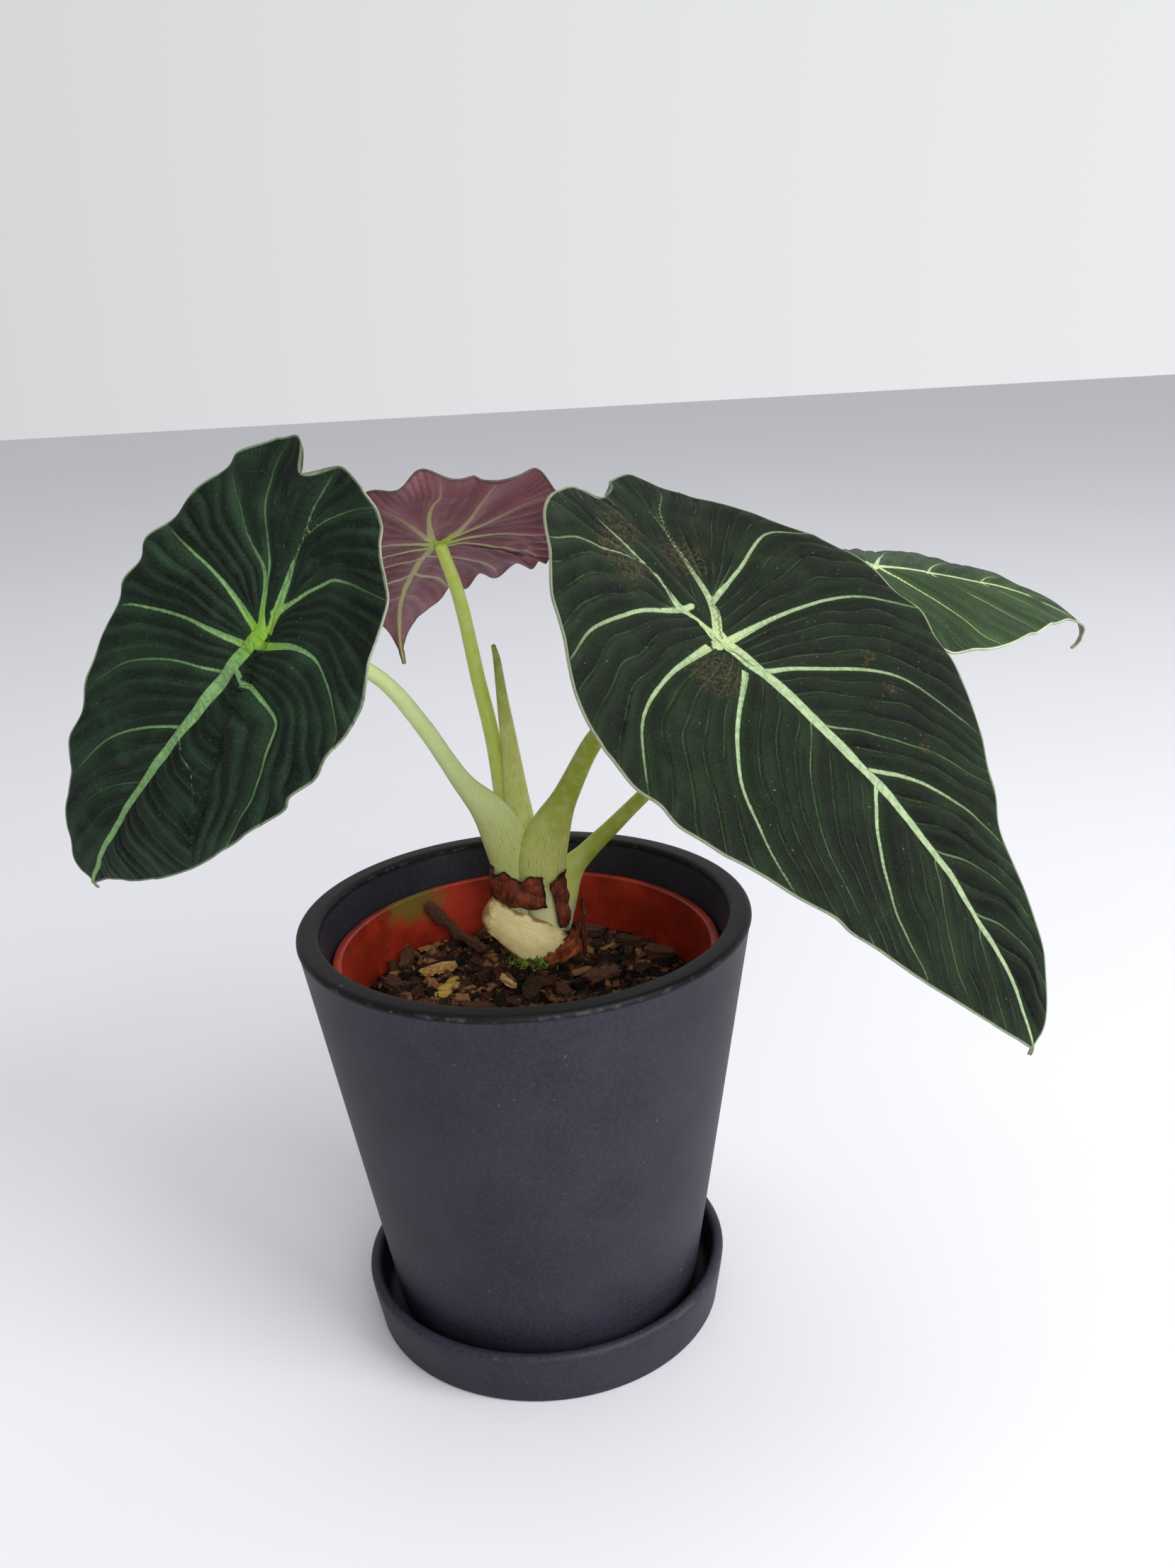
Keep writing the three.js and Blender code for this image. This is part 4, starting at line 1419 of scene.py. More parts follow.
def right_shape() -> LeafShape:
    """The largest leaf, hanging forwards on the right.

    Returns:
        Its shape.
    """
    return LeafShape(
        at=(53.6, -59.9, 111.5), heading=-24.1, dip=39.2, roll=14.3, length=147, half_width=59,
        arch=36, lobe_arch=34.5, sweep=0.5, twist=-16.6,
        fold_right=(20, -2, -1), fold_left=(-9, 11, -1), curl_right=9, curl_left=4,
        right=[
            (1.5, 147), (14, 131), (29, 105), (38, 85), (50, 52), (58, 34), (61, 10), (59, -15), (53, -32),
            (45, -46),
        ],
        base=[(45, -46), (36, -54), (22, -56), (4, -55), (-10, -49), (-24, -52), (-38, -49), (-50, -38)],
        left=[
            (-1.5, 147), (-8, 142), (-17, 124), (-24, 98), (-33, 83), (-43, 72), (-57, 49), (-62, 26),
            (-59, 2), (-56, -18), (-50, -38),
        ],
        notch=4,
        veins_right=[
            (1.0, [(1, 0), (2, -12), (-1, -32), (3, -52)]),
            (0.8, [(1.6, -1), (2.7, -12), (0, -29), (22, -42), (44, -47)]),
            (0.9, [(2, -12), (18, -19), (41, -23), (56, -21)]),
            (0.95, [(7, 0), (27, -2), (44, 1), (57, 12)]),
            (0.95, [(5, 12), (21, 19), (36, 31), (43, 46), (46, 58)]),
            (0.3, [(2, 34), (17, 43), (30, 58), (36, 80)]),
            (0.85, [(2, 59), (14, 68), (23, 82), (28, 104)]),
            (0.3, [(1, 84), (9, 93), (16, 106), (19, 121)]),
            (0.3, [(1, 108), (6, 115), (9, 125), (10, 135)]),
        ],
        veins_left=[
            (0.95, [(1, 0), (-9, -10), (-24, -35), (-25, -47)]),
            (0.8, [(-0.4, 0.4), (-9.8, -9.6), (-24.6, -33.6), (-41, -41)]),
            (0.9, [(-10, -8), (-27, -9), (-49, -11), (-58, -2)]),
            (0.9, [(-2, 3), (-24, 9), (-48, 20), (-63, 39)]),
            (0.85, [(-2, 16), (-21, 30), (-36, 46), (-41, 66)]),
            (0.4, [(-2, 38), (-12, 50), (-24, 66), (-32, 82)]),
            (0.8, [(-4, 57), (-13, 68), (-19, 80), (-23, 95)]),
            (0.35, [(-2, 84), (-9, 94), (-15, 106), (-17, 119)]),
            (0.35, [(-1, 104), (-6, 112), (-10, 122), (-11, 133)]),
        ],
        sinus=[(-3.2, -10), (-9, -24), (-12, -37)],
        tail=6, hook=40, quilt=1.8, ruffle=0.8, ruffle_length=34, crumple=0.9, fine_gap=5.2, rib_width=2.1,
    )


def back_shape() -> LeafShape:
    """The leaf behind, seen from below.

    Returns:
        Its shape.
    """
    return LeafShape(
        at=(-21.4, -15.1, 134.3), heading=108, dip=18.7, roll=-1.2, length=107, half_width=40,
        arch=21.7, lobe_arch=41.5, sweep=10.6, twist=1.9,
        fold_right=(1, -2, 5), fold_left=(6, 0, 5), curl_right=18, curl_left=14,
        right=[(1.5, 103), (9, 92), (18, 72), (28, 58), (36, 44), (40, 20), (39, -5), (34, -25), (26, -38)],
        base=[(26, -38), (14, -47), (2, -45), (-10, -49), (-22, -45), (-31, -37)],
        left=[(-1.5, 103), (-5, 96), (-14, 84), (-27, 62), (-36, 36), (-41, 10), (-39, -14), (-31, -37)],
        notch=2,
        veins_right=[
            (0.9, [(1, 3), (2, 2), (3, -20), (4, -35), (6, -47)]),
            (0.8, [(2, -4), (10, -22), (21, -36)]),
            (0.9, [(2, 0), (16, -8), (36, -12)]),
            (1.0, [(2, 3), (20, 6), (38, 16)]),
            (0.9, [(2, 20), (14, 28), (26, 42), (30, 52)]),
            (0.8, [(2, 42), (10, 52), (16, 66), (18, 76)]),
            (0.4, [(1, 66), (6, 74), (9, 84), (10, 92)]),
        ],
        veins_left=[
            (0.9, [(1, 3), (-2, 0), (-8, -22), (-9, -32), (-8, -38), (-9, -44)]),
            (0.8, [(-2, -2), (-12, -20), (-24, -36)]),
            (0.9, [(-2, 0), (-16, -8), (-38, -10)]),
            (1.0, [(-2, 3), (-20, 8), (-39, 22)]),
            (0.9, [(-2, 20), (-14, 28), (-26, 42), (-31, 54)]),
            (0.8, [(-2, 42), (-10, 52), (-16, 64), (-19, 78)]),
            (0.4, [(-1, 66), (-6, 74), (-9, 84), (-9, 92)]),
        ],
        sinus=[(-1.5, -10), (-2.5, -22), (-1.5, -34)],
        tail=12, hook=50, quilt=1.2, ruffle=1.7, ruffle_length=19, crumple=0.9, fine_gap=5.4, rib_width=1.5,
    )


def far_shape() -> LeafShape:
    """The lighter leaf at the far right.

    Returns:
        Its shape.
    """
    return LeafShape(
        at=(104.6, 10.5, 115.5), heading=17.1, dip=9.6, roll=14.8, length=103, half_width=39,
        arch=23.4, lobe_arch=0, sweep=-1.2, twist=-2.7,
        fold_right=(2, -6, 1), fold_left=(2, -8, 3), curl_right=21, curl_left=22,
        right=[(1.5, 101), (8, 90), (17, 76), (27, 60), (35, 45), (40, 26), (40, 4), (37, -14), (28, -32)],
        base=[(28, -32), (15, -41), (0, -33), (-15, -41), (-28, -32)],
        left=[
            (-1.5, 101), (-6, 94), (-15, 83), (-25, 66), (-33, 47), (-39, 26), (-40, 4), (-37, -14),
            (-28, -32),
        ],
        notch=2,
        veins_right=[
            (0.8, [(1, -4), (9, -20), (15, -38)]),
            (0.8, [(1, -2), (16, -14), (34, -20)]),
            (0.9, [(1, 1), (20, 4), (38, 12)]),
            (0.9, [(0, 11), (11, 19), (21, 27), (32, 35), (35, 41)]),
            (0.8, [(1, 32), (9, 39), (18, 50), (24, 62)]),
            (0.6, [(1, 54), (7, 61), (12, 71), (14, 80)]),
            (0.3, [(1, 74), (4, 80), (6, 88), (6, 94)]),
        ],
        veins_left=[
            (0.8, [(-1, -4), (-9, -20), (-15, -38)]),
            (0.8, [(-1, -2), (-16, -14), (-34, -20)]),
            (0.9, [(-1, 1), (-20, 4), (-38, 12)]),
            (0.9, [(0, 11), (-11, 19), (-21, 27), (-32, 35), (-35, 43)]),
            (0.8, [(-1, 32), (-9, 39), (-18, 50), (-23, 64)]),
            (0.6, [(-1, 54), (-7, 61), (-12, 71), (-13, 82)]),
            (0.3, [(-1, 74), (-4, 80), (-6, 88), (-5, 94)]),
        ],
        sinus=[(0, -12), (0, -22)],
        tail=13, hook=120, quilt=0.9, ruffle=0.9, ruffle_length=24, crumple=0.6, fine_gap=5.2, rib_width=1.2,
    )


BITES = ((-15, -22, 9), (10, -33, 11), (-4, -40, 8), (14, 6, 10), (-30, 34, 3), (-27, 44, 3), (-22, 62, 2.6))


@dataclass
class Foliage:
    """The four open leaves."""

    register: Register
    crown: Array

    def build(self) -> None:
        """Builds the leaves one after another."""
        for blade in self.blades():
            blade.build(self.register, self.crown)

    def blades(self) -> list[Blade]:
        """The leaves, each with its shape and its two skins.

        Returns:
            The leaves in order.
        """
        fine = {"vein_spread": 0.8, "fine_strength": 0.3}
        velvet = LeafSkin("velvet_upper", VELVET, damage=0.45, damage_places=BITES)
        velvet_left = LeafSkin("velvet_upper_left", VELVET_LEFT, velvet=0.07, dry_tip=124.0, **fine)
        velvet_back = LeafSkin("velvet_upper_back", VELVET_LEFT, **fine)
        fresh = LeafSkin("fresh_upper", FRESH, fine_strength=0.3, vein_spread=0.4, gloss=0.5, shine=0.25)
        grey = LeafSkin("grey_underside", GREY_UNDER, vein_spread=1.2, gloss=0.5)
        burgundy = LeafSkin(
            "burgundy_underside", BURGUNDY,
            vein_spread=1.1, fine_strength=0.4, gloss=0.5, relief=0.2, shine=0.3,
        )
        return [
            Blade("left_leaf", "blade_left", left_shape(), velvet_left, grey, "velvet_leaf"),
            Blade("right_leaf", "blade_right", right_shape(), velvet, grey, "velvet_leaf"),
            Blade("back_leaf", "blade_back", back_shape(), velvet_back, burgundy, "velvet_leaf"),
            Blade("far_leaf", "blade_far", far_shape(), fresh, grey, "far_leaf", across=110, along=150),
        ]


# ---- Stalks ----------------------------------------------------------------------------------------------


# x, y, z from the crown, half width and half depth
STALK_ROUTES = {
    "right": [
        (3.5, -2.5, 0.3, 4.6, 4.2), (3.4, -2.4, 13.6, 6.8, 4.8), (2.8, -2.6, 25.6, 7.8, 5.2),
        (5.4, -4, 37.1, 7, 4.8), (11.6, -8, 51, 4, 3.8), (22.2, -18, 73.1, 2.9, 2.9),
        (38, -40, 94.1, 2.4, 2.4), (53.6, -59.9, 111.5, 2.2, 2.2),
    ],
    "left": [
        (-4.5, 1, 0.3, 4.8, 4.2), (-6.2, 1.6, 13.6, 6.2, 4.8), (-6.6, 1.5, 24.6, 7.2, 5),
        (-8.6, -0.5, 34.6, 7.2, 4.8), (-13.2, -4, 46.4, 5.6, 4.2), (-20.8, -10, 58.9, 3.2, 3.2),
        (-29.4, -22, 79.1, 2.6, 2.6), (-39.6, -34, 98, 2.3, 2.3), (-54, -45.5, 110.6, 2.1, 2.1),
        (-69.4, -55.8, 118.2, 2, 2),
    ],
    "far": [
        (7.5, 4, 0.3, 3.6, 3.4), (9.4, 3.6, 10.6, 4.2, 3.6), (11.9, 3.6, 20.6, 4.4, 3.6),
        (18.2, 4.6, 26.9, 3.2, 3), (28, 6, 35.4, 2.6, 2.6), (37.9, 8, 43.8, 2.4, 2.4),
        (62, 11, 64.6, 2.2, 2.2), (86, 12, 89.6, 2, 2), (104.6, 10.5, 115.5, 1.9, 1.9),
    ],
    "back": [
        (-6, 5.5, 0.3, 3.2, 3), (-7.6, 8, 18.6, 3.4, 3.2), (-8, 9.6, 35.6, 3.2, 3),
        (-8.8, 8.6, 50.8, 2.8, 2.8), (-10.3, 7.2, 66.8, 2.5, 2.5), (-13.3, 5, 86.2, 2.3, 2.3),
        (-16.8, 0, 112.2, 2.1, 2.1), (-21.4, -15.1, 134.3, 1.9, 1.9),
    ],
}
SPIKE_ROUTE = [
    (-0.6, 6, 0.3, 3.6, 3.4), (-1.4, 6.2, 18.6, 4, 3.8), (-2.8, 5.8, 35.6, 4.4, 3.8),
    (-4, 5.4, 47.6, 4, 3.4), (-4.9, 5, 62.1, 2.9, 2.7), (-6.3, 4, 80.6, 1.8, 1.8),
    (-7.1, 3.2, 92.6, 1.2, 1.2), (-7.9, 2.8, 97.6, 0.7, 0.7),
]
JOINT_GAP = 2.6  # mm that a stalk stops short of its leaf's middle


@dataclass
class Stalks:
    """The leaf stalks with their sheathing feet, and the furled new leaf."""

    register: Register
    crown: Array

    def build(self) -> None:
        """Builds the four stalks and the furled leaf from their routes."""
        pale, mid, green = rgb("f0f0b8"), rgb("d3dc7c"), rgb("a6b535")
        skins = {
            "right": StalkSkin("stalk_right", pale, mid, green, (0.34, 0.62)),
            "left": StalkSkin("stalk_left", pale, rgb("d8e38e"), rgb("d0e29a"), (0.3, 0.6)),
            "far": StalkSkin("stalk_far", rgb("cdd8a4"), mid, green, (0.2, 0.42)),
            "back": StalkSkin("stalk_back", pale, rgb("ccd873"), rgb("c4d75c"), (0.3, 0.6)),
        }
        for name, route in STALK_ROUTES.items():
            self.stalk(f"stalk_{name}", route, skins[name], "stalk", f"petiole_{name}")
        skin = StalkSkin("spike_skin", pale, rgb("cbd270"), rgb("7e9028"), (0.5, 0.9), lines=22)
        self.stalk("furled_leaf", SPIKE_ROUTE, skin, "new_leaf", "new_leaf")

    def stalk(self, name: str, route: list, skin: StalkSkin, slot: str, node: str) -> None:
        """Makes one stalk and fits it.

        Args:
            name: The piece's name.
            route: Its route.
            skin: Its finish.
            slot: A slot name, passed on to the register.
            node: The frame node that it stands for.
        """
        if node.startswith("petiole"):
            last, before = np.array(route[-1]), np.array(route[-2])
            back = before[:3] - last[:3]
            last[:3] += back / np.linalg.norm(back) * JOINT_GAP
            route = [*route[:-1], tuple(last)]
        piece = rod(name, route)
        points = corners(piece)
        swell = perlin(points, 9, len(name)) * 0.12
        move_corners(piece, points + outward(piece) * swell[:, None] + self.crown)
        self.register.fit(piece, [skin.material()], slot, node)


# ---- Crown: rhizome, husks, moss -------------------------------------------------------------------------


@dataclass
class Wrap:
    """A curved sheet on an oval round the crown, its angles in degrees and heights from the rhizome's top."""

    start: tuple[float, float]
    end: tuple[float, float]
    low: tuple[float, float, float]
    high: tuple[float, float, float]
    radius: tuple[float, float]
    flare: float = 0.0
    thickness: float = 0.5
    crumple: float = 0.5
    ragged: float = 0.8
    bulge: float = 0.0


@dataclass
class Crown:
    """The rhizome and what is left of older leaves round it."""

    register: Register
    crown: Array
    tufts: int = 620

    def build(self) -> None:
        """Builds the rhizome, the husks and the moss."""
        self.rhizome()
        brown = Papery("brown_husk", rgb("8f4426"), rgb("451b10"), rgb("240e09"))
        rust = Papery("rust_husk", rgb("b8602f"), rgb("632a15"), rgb("33150c"))
        cream = Papery(
            "cream_sheath", rgb("fff3b4"), rgb("f3df94"), rgb("8a5526"),
            fibres_round=True, rough=0.45, depth=0.12, edge_reach=5.5,
        )
        footing = -6.9
        wraps = {
            "peeled_sheath": (cream, "cream_sheath", Wrap(
                (190, 184), (316, 324), (4.5, -4.5, -1), (15, 11, 3.5), (15.8, 12.6),
                flare=-3.2, thickness=0.8, crumple=0.1, ragged=0.3, bulge=2.2)),
            "husk_base": (rust, "rust_husk", Wrap(
                (262, 278), (352, 356), (-6, -6.2, -5.8), (-1.5, 3, 6), (12.6, 13.6),
                crumple=1.3, ragged=1.3)),
            "husk_collar": (brown, "brown_husk", Wrap(
                (186, 184), (287, 284), (16, 14, 13), (27, 24, 23), (13.6, 10.6), crumple=1.5, ragged=1.5)),
            "husk_flap": (brown, "brown_husk", Wrap(
                (302, 290), (322, 316), (6.4, 5.6, 7), (22, 24, 26), (13.4, 13.4), crumple=1.1)),
            "husk_strip_1": (brown, "brown_husk", Wrap(
                (336, 338), (343, 345), (footing,) * 3, (13, 14, 13), (15.4, 15.4), crumple=0.6, ragged=0.5)),
            "husk_strip_2": (rust, "rust_husk", Wrap(
                (350, 352), (357, 359), (footing,) * 3, (9, 10, 9), (15.6, 15.6), crumple=0.6, ragged=0.5)),
        }
        materials = {finish.name: finish.material() for finish, _, _ in wraps.values()}
        for seed, (name, (finish, slot, wrap)) in enumerate(wraps.items()):
            piece = self.wrap(f"{name}_sheet", wrap, seed)
            self.register.fit(piece, [materials[finish.name]], slot, name)
        self.moss()

    def rhizome(self) -> None:
        """The thick ringed stem under the leaves."""
        low, high = node_box("rhizome")
        half = (high[0] - low[0]) / 2
        deep = high[2] - low[2]
        shape = [(-deep, 0.4), (-deep + 3, 0.8), (-deep + 8, 0.93), (-7, 0.98), (-3, 0.95), (-0.6, 0.88)]
        route = [(0, 0, z, half * k, half * k * CROWN_OVAL) for z, k in shape]
        piece = rod("root_stock", route, 40, 8)
        points = corners(piece)
        rings = 0.35 * np.sin(points[:, 2] * 2.1) + 0.5 * perlin(points, 4, 8)
        away = points * (1, 1, 0)
        away /= np.maximum(np.linalg.norm(away, axis=1), 1e-3)[:, None]
        move_corners(piece, points + away * (rings - 0.4)[:, None] + self.crown)
        store(piece, "tone", np.full((len(points), 3), 0.5))
        finish = WoodyBits("rhizome_skin", rgb("2b1a10"), rgb("6b4426"), rgb("a57b45"))
        self.register.fit(piece, [finish.material()], "rhizome_skin", "rhizome")

    def wrap(self, name: str, w: Wrap, seed: int) -> bpy.types.Object:
        """Makes one curved sheet with crumples and a ragged edge.

        Args:
            name: The piece's name.
            w: Its shape.
            seed: Picks its crumples.

        Returns:
            The object.
        """
        piece, u, h = grid(name, 64, 44)
        u_room = np.column_stack([u * 12, np.zeros_like(u), np.full_like(u, seed * 3.0)])
        h_room = np.column_stack([h * 12, np.zeros_like(u), np.full_like(u, seed * 3.0 + 50)])
        start = np.interp(h, [0, 1], w.start) + perlin(h_room, 2.2, seed) * w.ragged * 3
        end = np.interp(h, [0, 1], w.end) + perlin(h_room, 2.2, seed + 9) * w.ragged * 3
        angle = np.radians(start + (end - start) * u)
        low = np.interp(u, [0, 0.5, 1], w.low) + perlin(u_room, 1.6, seed) * w.ragged * 0.6
        high = np.interp(u, [0, 0.5, 1], w.high) + perlin(u_room, 1.6, seed + 5) * w.ragged * 1.4
        height = low + (high - low) * h
        r = np.interp(u, [0, 1], w.radius) + w.flare * h
        place = np.column_stack([np.cos(angle) * r, np.sin(angle) * r * CROWN_OVAL, height])
        r = r + w.crumple * (ridged(place, 5.5, seed) - 0.25)
        r = r + w.bulge * (np.sin(np.pi * h) - 0.4 + 0.9 * np.exp(-((u / 0.1) ** 2)))
        place = np.column_stack([np.cos(angle) * r, np.sin(angle) * r * CROWN_OVAL, height])
        move_corners(piece, place + self.crown)
        apply_modifier(piece, "SOLIDIFY", thickness=w.thickness * MM, offset=0.0)
        tidy_mesh(piece)
        smooth(piece, 50)
        return piece

    def moss(self) -> None:
        """Small tufts on the rhizome's lower front."""
        bare()
        bpy.ops.mesh.primitive_cone_add(vertices=5, radius1=0.42 * MM, radius2=0.08 * MM, depth=1.5 * MM)
        tuft = bpy.context.object
        random = np.random.default_rng(5)
        spots = []
        for _ in range(self.tufts):
            angle = math.radians(random.normal(256, 13))
            r = random.uniform(11.6, 14.0)
            z = random.uniform(-7.6, -3.4) + abs(random.normal(0, 0.9))
            spots.append((math.cos(angle) * r, math.sin(angle) * r * CROWN_OVAL, z))
        turns = random.uniform(-0.9, 0.9, (len(spots), 3))
        sizes = random.uniform(0.5, 1.25, len(spots))
        sizes = sizes[:, None] * np.ones(3)
        piece = scatter("moss_tufts", [tuft], np.array(spots) + self.crown, turns, sizes, random)
        self.register.fit(piece, [Moss().material()], "moss", "moss")


def scatter(
    name: str,
    models: list[bpy.types.Object],
    places: Array,
    turns: Array,
    sizes: Array,
    random: np.random.Generator,
) -> bpy.types.Object:
    """Copies small models to many places as one mesh, each copy with its own tone, and removes the models.

    Args:
        name: The piece's name.
        models: What is copied, in turn.
        places: Each copy's place in millimetres.
        turns: Each copy's turns about X, Y and Z in radians.
        sizes: Each copy's scale along its own axes.
        random: Draws the tones.

    Returns:
        The object.
    """
    shapes = [corners(model) for model in models]
    faces = [[list(p.vertices) for p in model.data.polygons] for model in models]
    points, polygons, tones, count = [], [], [], 0
    for k, (place, turn, size) in enumerate(zip(places, turns, sizes)):
        pick = k % len(models)
        spin = Matrix.Rotation(turn[2], 3, "Z") @ Matrix.Rotation(turn[1], 3, "Y")
        spin = spin @ Matrix.Rotation(turn[0], 3, "X")
        points.append((shapes[pick] * size) @ np.array(spin).T + place)
        polygons += [[i + count for i in face] for face in faces[pick]]
        count += len(shapes[pick])
        tones.append(np.full(len(shapes[pick]), random.uniform(0, 1)))
    mesh = bpy.data.meshes.new(name)
    mesh.from_pydata((np.vstack(points) * MM).tolist(), [], polygons)
    piece = bpy.data.objects.new(name, mesh)
    bpy.context.scene.collection.objects.link(piece)
    tone = np.concatenate(tones)
    store(piece, "tone", np.column_stack([tone, tone, tone]))
    for model in models:
        bpy.data.objects.remove(model)
    return piece


# ---- Potting mix and litter ------------------------------------------------------------------------------


@dataclass
class PottingMix:
    """Bark mix with hundreds of bits on it, and the larger chips, flake and twig that lie there."""

    register: Register
    crown: Array
    bits: int = 3600
    mound: float = 2.5
    mound_radius: float = 22.0
    foot_radius: float = 40.0
    seed: int = 12
    radius: float = field(init=False)
    foot: float = field(init=False)
    level: float = field(init=False)
    random: np.random.Generator = field(init=False)
    finish: bpy.types.Material = field(init=False)
    bark: bpy.types.Material = field(init=False)
    pale: bpy.types.Material = field(init=False)

    def __post_init__(self) -> None:
        """Reads the mix's sizes from the frame and makes its finishes."""
        low, high = node_box("potting_mix")
        self.radius = high[0] - 0.3
        self.foot = low[2]
        self.level = self.crown[2] - RHIZOME_SHOWS - self.mound
        self.random = np.random.default_rng(self.seed)
        self.finish = WoodyBits("bark_mix", rgb("0e0906"), rgb("46291a"), rgb("9c7047")).material()
        self.bark = WoodyBits("bark_chips", rgb("1a110c"), rgb("573a29"), rgb("94694a")).material()
        self.pale = WoodyBits("pale_wood", rgb("5b3a1c"), rgb("b07f45"), rgb("e2bf82")).material()

    def build(self) -> None:
        """Builds the mix and its litter."""
        self.bed()
        self.chips()
        self.litter()
        self.twig()

    def surface(self, x: Array, y: Array) -> Array:
        """Height of the mix at places.

        Args:
            x: Their X in millimetres.
            y: Their Y in millimetres.

        Returns:
            The heights in millimetres.
        """
        away = np.hypot(x - self.crown[0], y - self.crown[1]) / self.mound_radius
        ripple = 0.5 * np.sin(x * 0.21 + 1) * np.cos(y * 0.17)
        return self.level + ripple + self.mound * np.exp(-away * away * 2)

    def chip_model(self, seed: int, cuts: int = 2) -> bpy.types.Object:
        """A rough splintered chip about 2 mm across, as the start of a larger one or for copying.

        Args:
            seed: Picks its shape.
            cuts: How often its edges are cut.

        Returns:
            The object.
        """
        bare()
        bpy.ops.mesh.primitive_cube_add(size=2 * MM)
        piece = bpy.context.object
        bpy.ops.object.mode_set(mode="EDIT")
        bpy.ops.mesh.select_all(action="SELECT")
        bpy.ops.mesh.subdivide(number_cuts=cuts)
        bpy.ops.object.mode_set(mode="OBJECT")
        points = corners(piece)
        rough = np.column_stack([perlin(points, 0.8, seed + k * 7) for k in range(3)])
        points = points + rough * (0.55, 0.55, 0.4)
        points[:, 1] *= 1 - 0.35 * np.abs(points[:, 0])
        move_corners(piece, points)
        return piece

    def bed(self) -> None:
        """The body of the mix, with a bed of bits over it."""
        top = self.level
        rings = [(self.foot_radius, self.foot), (self.radius, top - 0.4)]
        rings += [(self.radius * k, top) for k in np.linspace(0.985, 0.04, 34)]
        piece = turned("mix_bed", rings, 96)
        points = corners(piece)
        upper = points[:, 2] > top - 1
        lumps = perlin(points, 5, 2) * 1.0 + perlin(points, 2.2, 6) * 0.7
        points[upper, 2] = (self.surface(points[:, 0], points[:, 1]) + lumps - 1.2)[upper]
        move_corners(piece, points)
        store(piece, "tone", np.full((len(points), 3), 0.12))
        models = [self.chip_model(20 + k, 1) for k in range(6)]
        distance = np.sqrt(self.random.uniform(0, 1, self.bits)) * (self.radius - 2.2)
        turn = self.random.uniform(0, 2 * math.pi, self.bits)
        x, y = np.cos(turn) * distance, np.sin(turn) * distance
        length = self.random.gamma(2.2, 0.55, self.bits) + 0.45
        length = np.minimum(length, np.maximum(self.radius - distance - 0.8, 0.8))
        sizes = np.column_stack([
            length,
            length * self.random.uniform(0.25, 0.75, self.bits),
            length * self.random.uniform(0.12, 0.4, self.bits),
        ])
        turns = np.column_stack([
            self.random.normal(0, 0.5, self.bits),
            self.random.normal(0, 0.35, self.bits),
            self.random.uniform(0, 2 * math.pi, self.bits),
        ])
        clear = np.hypot(x - self.crown[0], (y - self.crown[1]) / CROWN_OVAL) > 10.5
        z = self.surface(x, y) + self.random.uniform(-0.9, 0.7, self.bits)
        places = np.column_stack([x, y, z])[clear]
        bits = scatter("mix_bits", models, places, turns[clear], sizes[clear], self.random)
        bare()
        bits.select_set(True)
        piece.select_set(True)
        bpy.context.view_layer.objects.active = piece
        bpy.ops.object.join()
        self.register.fit(piece, [self.finish], "potting_mix", "potting_mix")

    def lay(
        self,
        name: str,
        node: str,
        turn: float,
        finish: bpy.types.Material,
        slot: str,
        thick: float,
        tone: float,
    ) -> None:
        """Models one larger bit in the box of its frame node.

        Args:
            name: The piece's name.
            node: The frame node.
            turn: Its direction in degrees.
            finish: Its material.
            slot: A slot name, passed on to the register.
            thick: Share of the box's height that it fills.
            tone: Its shade, from 0 to 1.
        """
        low, high = node_box(node)
        span, middle = high - low, (low + high) / 2
        c, s = abs(math.cos(math.radians(turn))), abs(math.sin(math.radians(turn)))
        length, width = span[0], span[1]
        if abs(c * c - s * s) > 0.2:
            length = (c * span[0] - s * span[1]) / (c * c - s * s)
            width = (c * span[1] - s * span[0]) / (c * c - s * s)
        else:
            length, width = math.hypot(span[0], span[1]) * 0.85, math.hypot(span[0], span[1]) * 0.42
        length, width = max(length, 4), max(width, 2)
        piece = self.chip_model(sum(map(ord, node)), 6)
        points = corners(piece)
        points = points * (length / 2.1, width / 2.0, span[2] * thick / 2.2)
        flat = Matrix.Rotation(math.radians(turn), 3, "Z")
        points = points @ np.array(flat).T + middle
        points += np.column_stack([perlin(points, 1.6, k) for k in range(3)]) * 0.35
        piece.name = piece.data.name = name
        move_corners(piece, points)
        store(piece, "tone", np.full((len(points), 3), tone))
        smooth(piece, 35)
        self.register.fit(piece, [finish], slot, node)

    def chips(self) -> None:
        """The sixteen larger bark chips."""
        turns = [80, 105, 20, 150, -30, 60, 120, 80, 30, 160, 60, 150, 35, 15, 140, 75]
        for k, turn in enumerate(turns):
            tone = 0.3 + 0.4 * ((k * 7) % 5) / 4
            self.lay(f"bark_{k + 1}", f"bark_chip_{k + 1}", turn, self.bark, "bark", 0.95, tone)

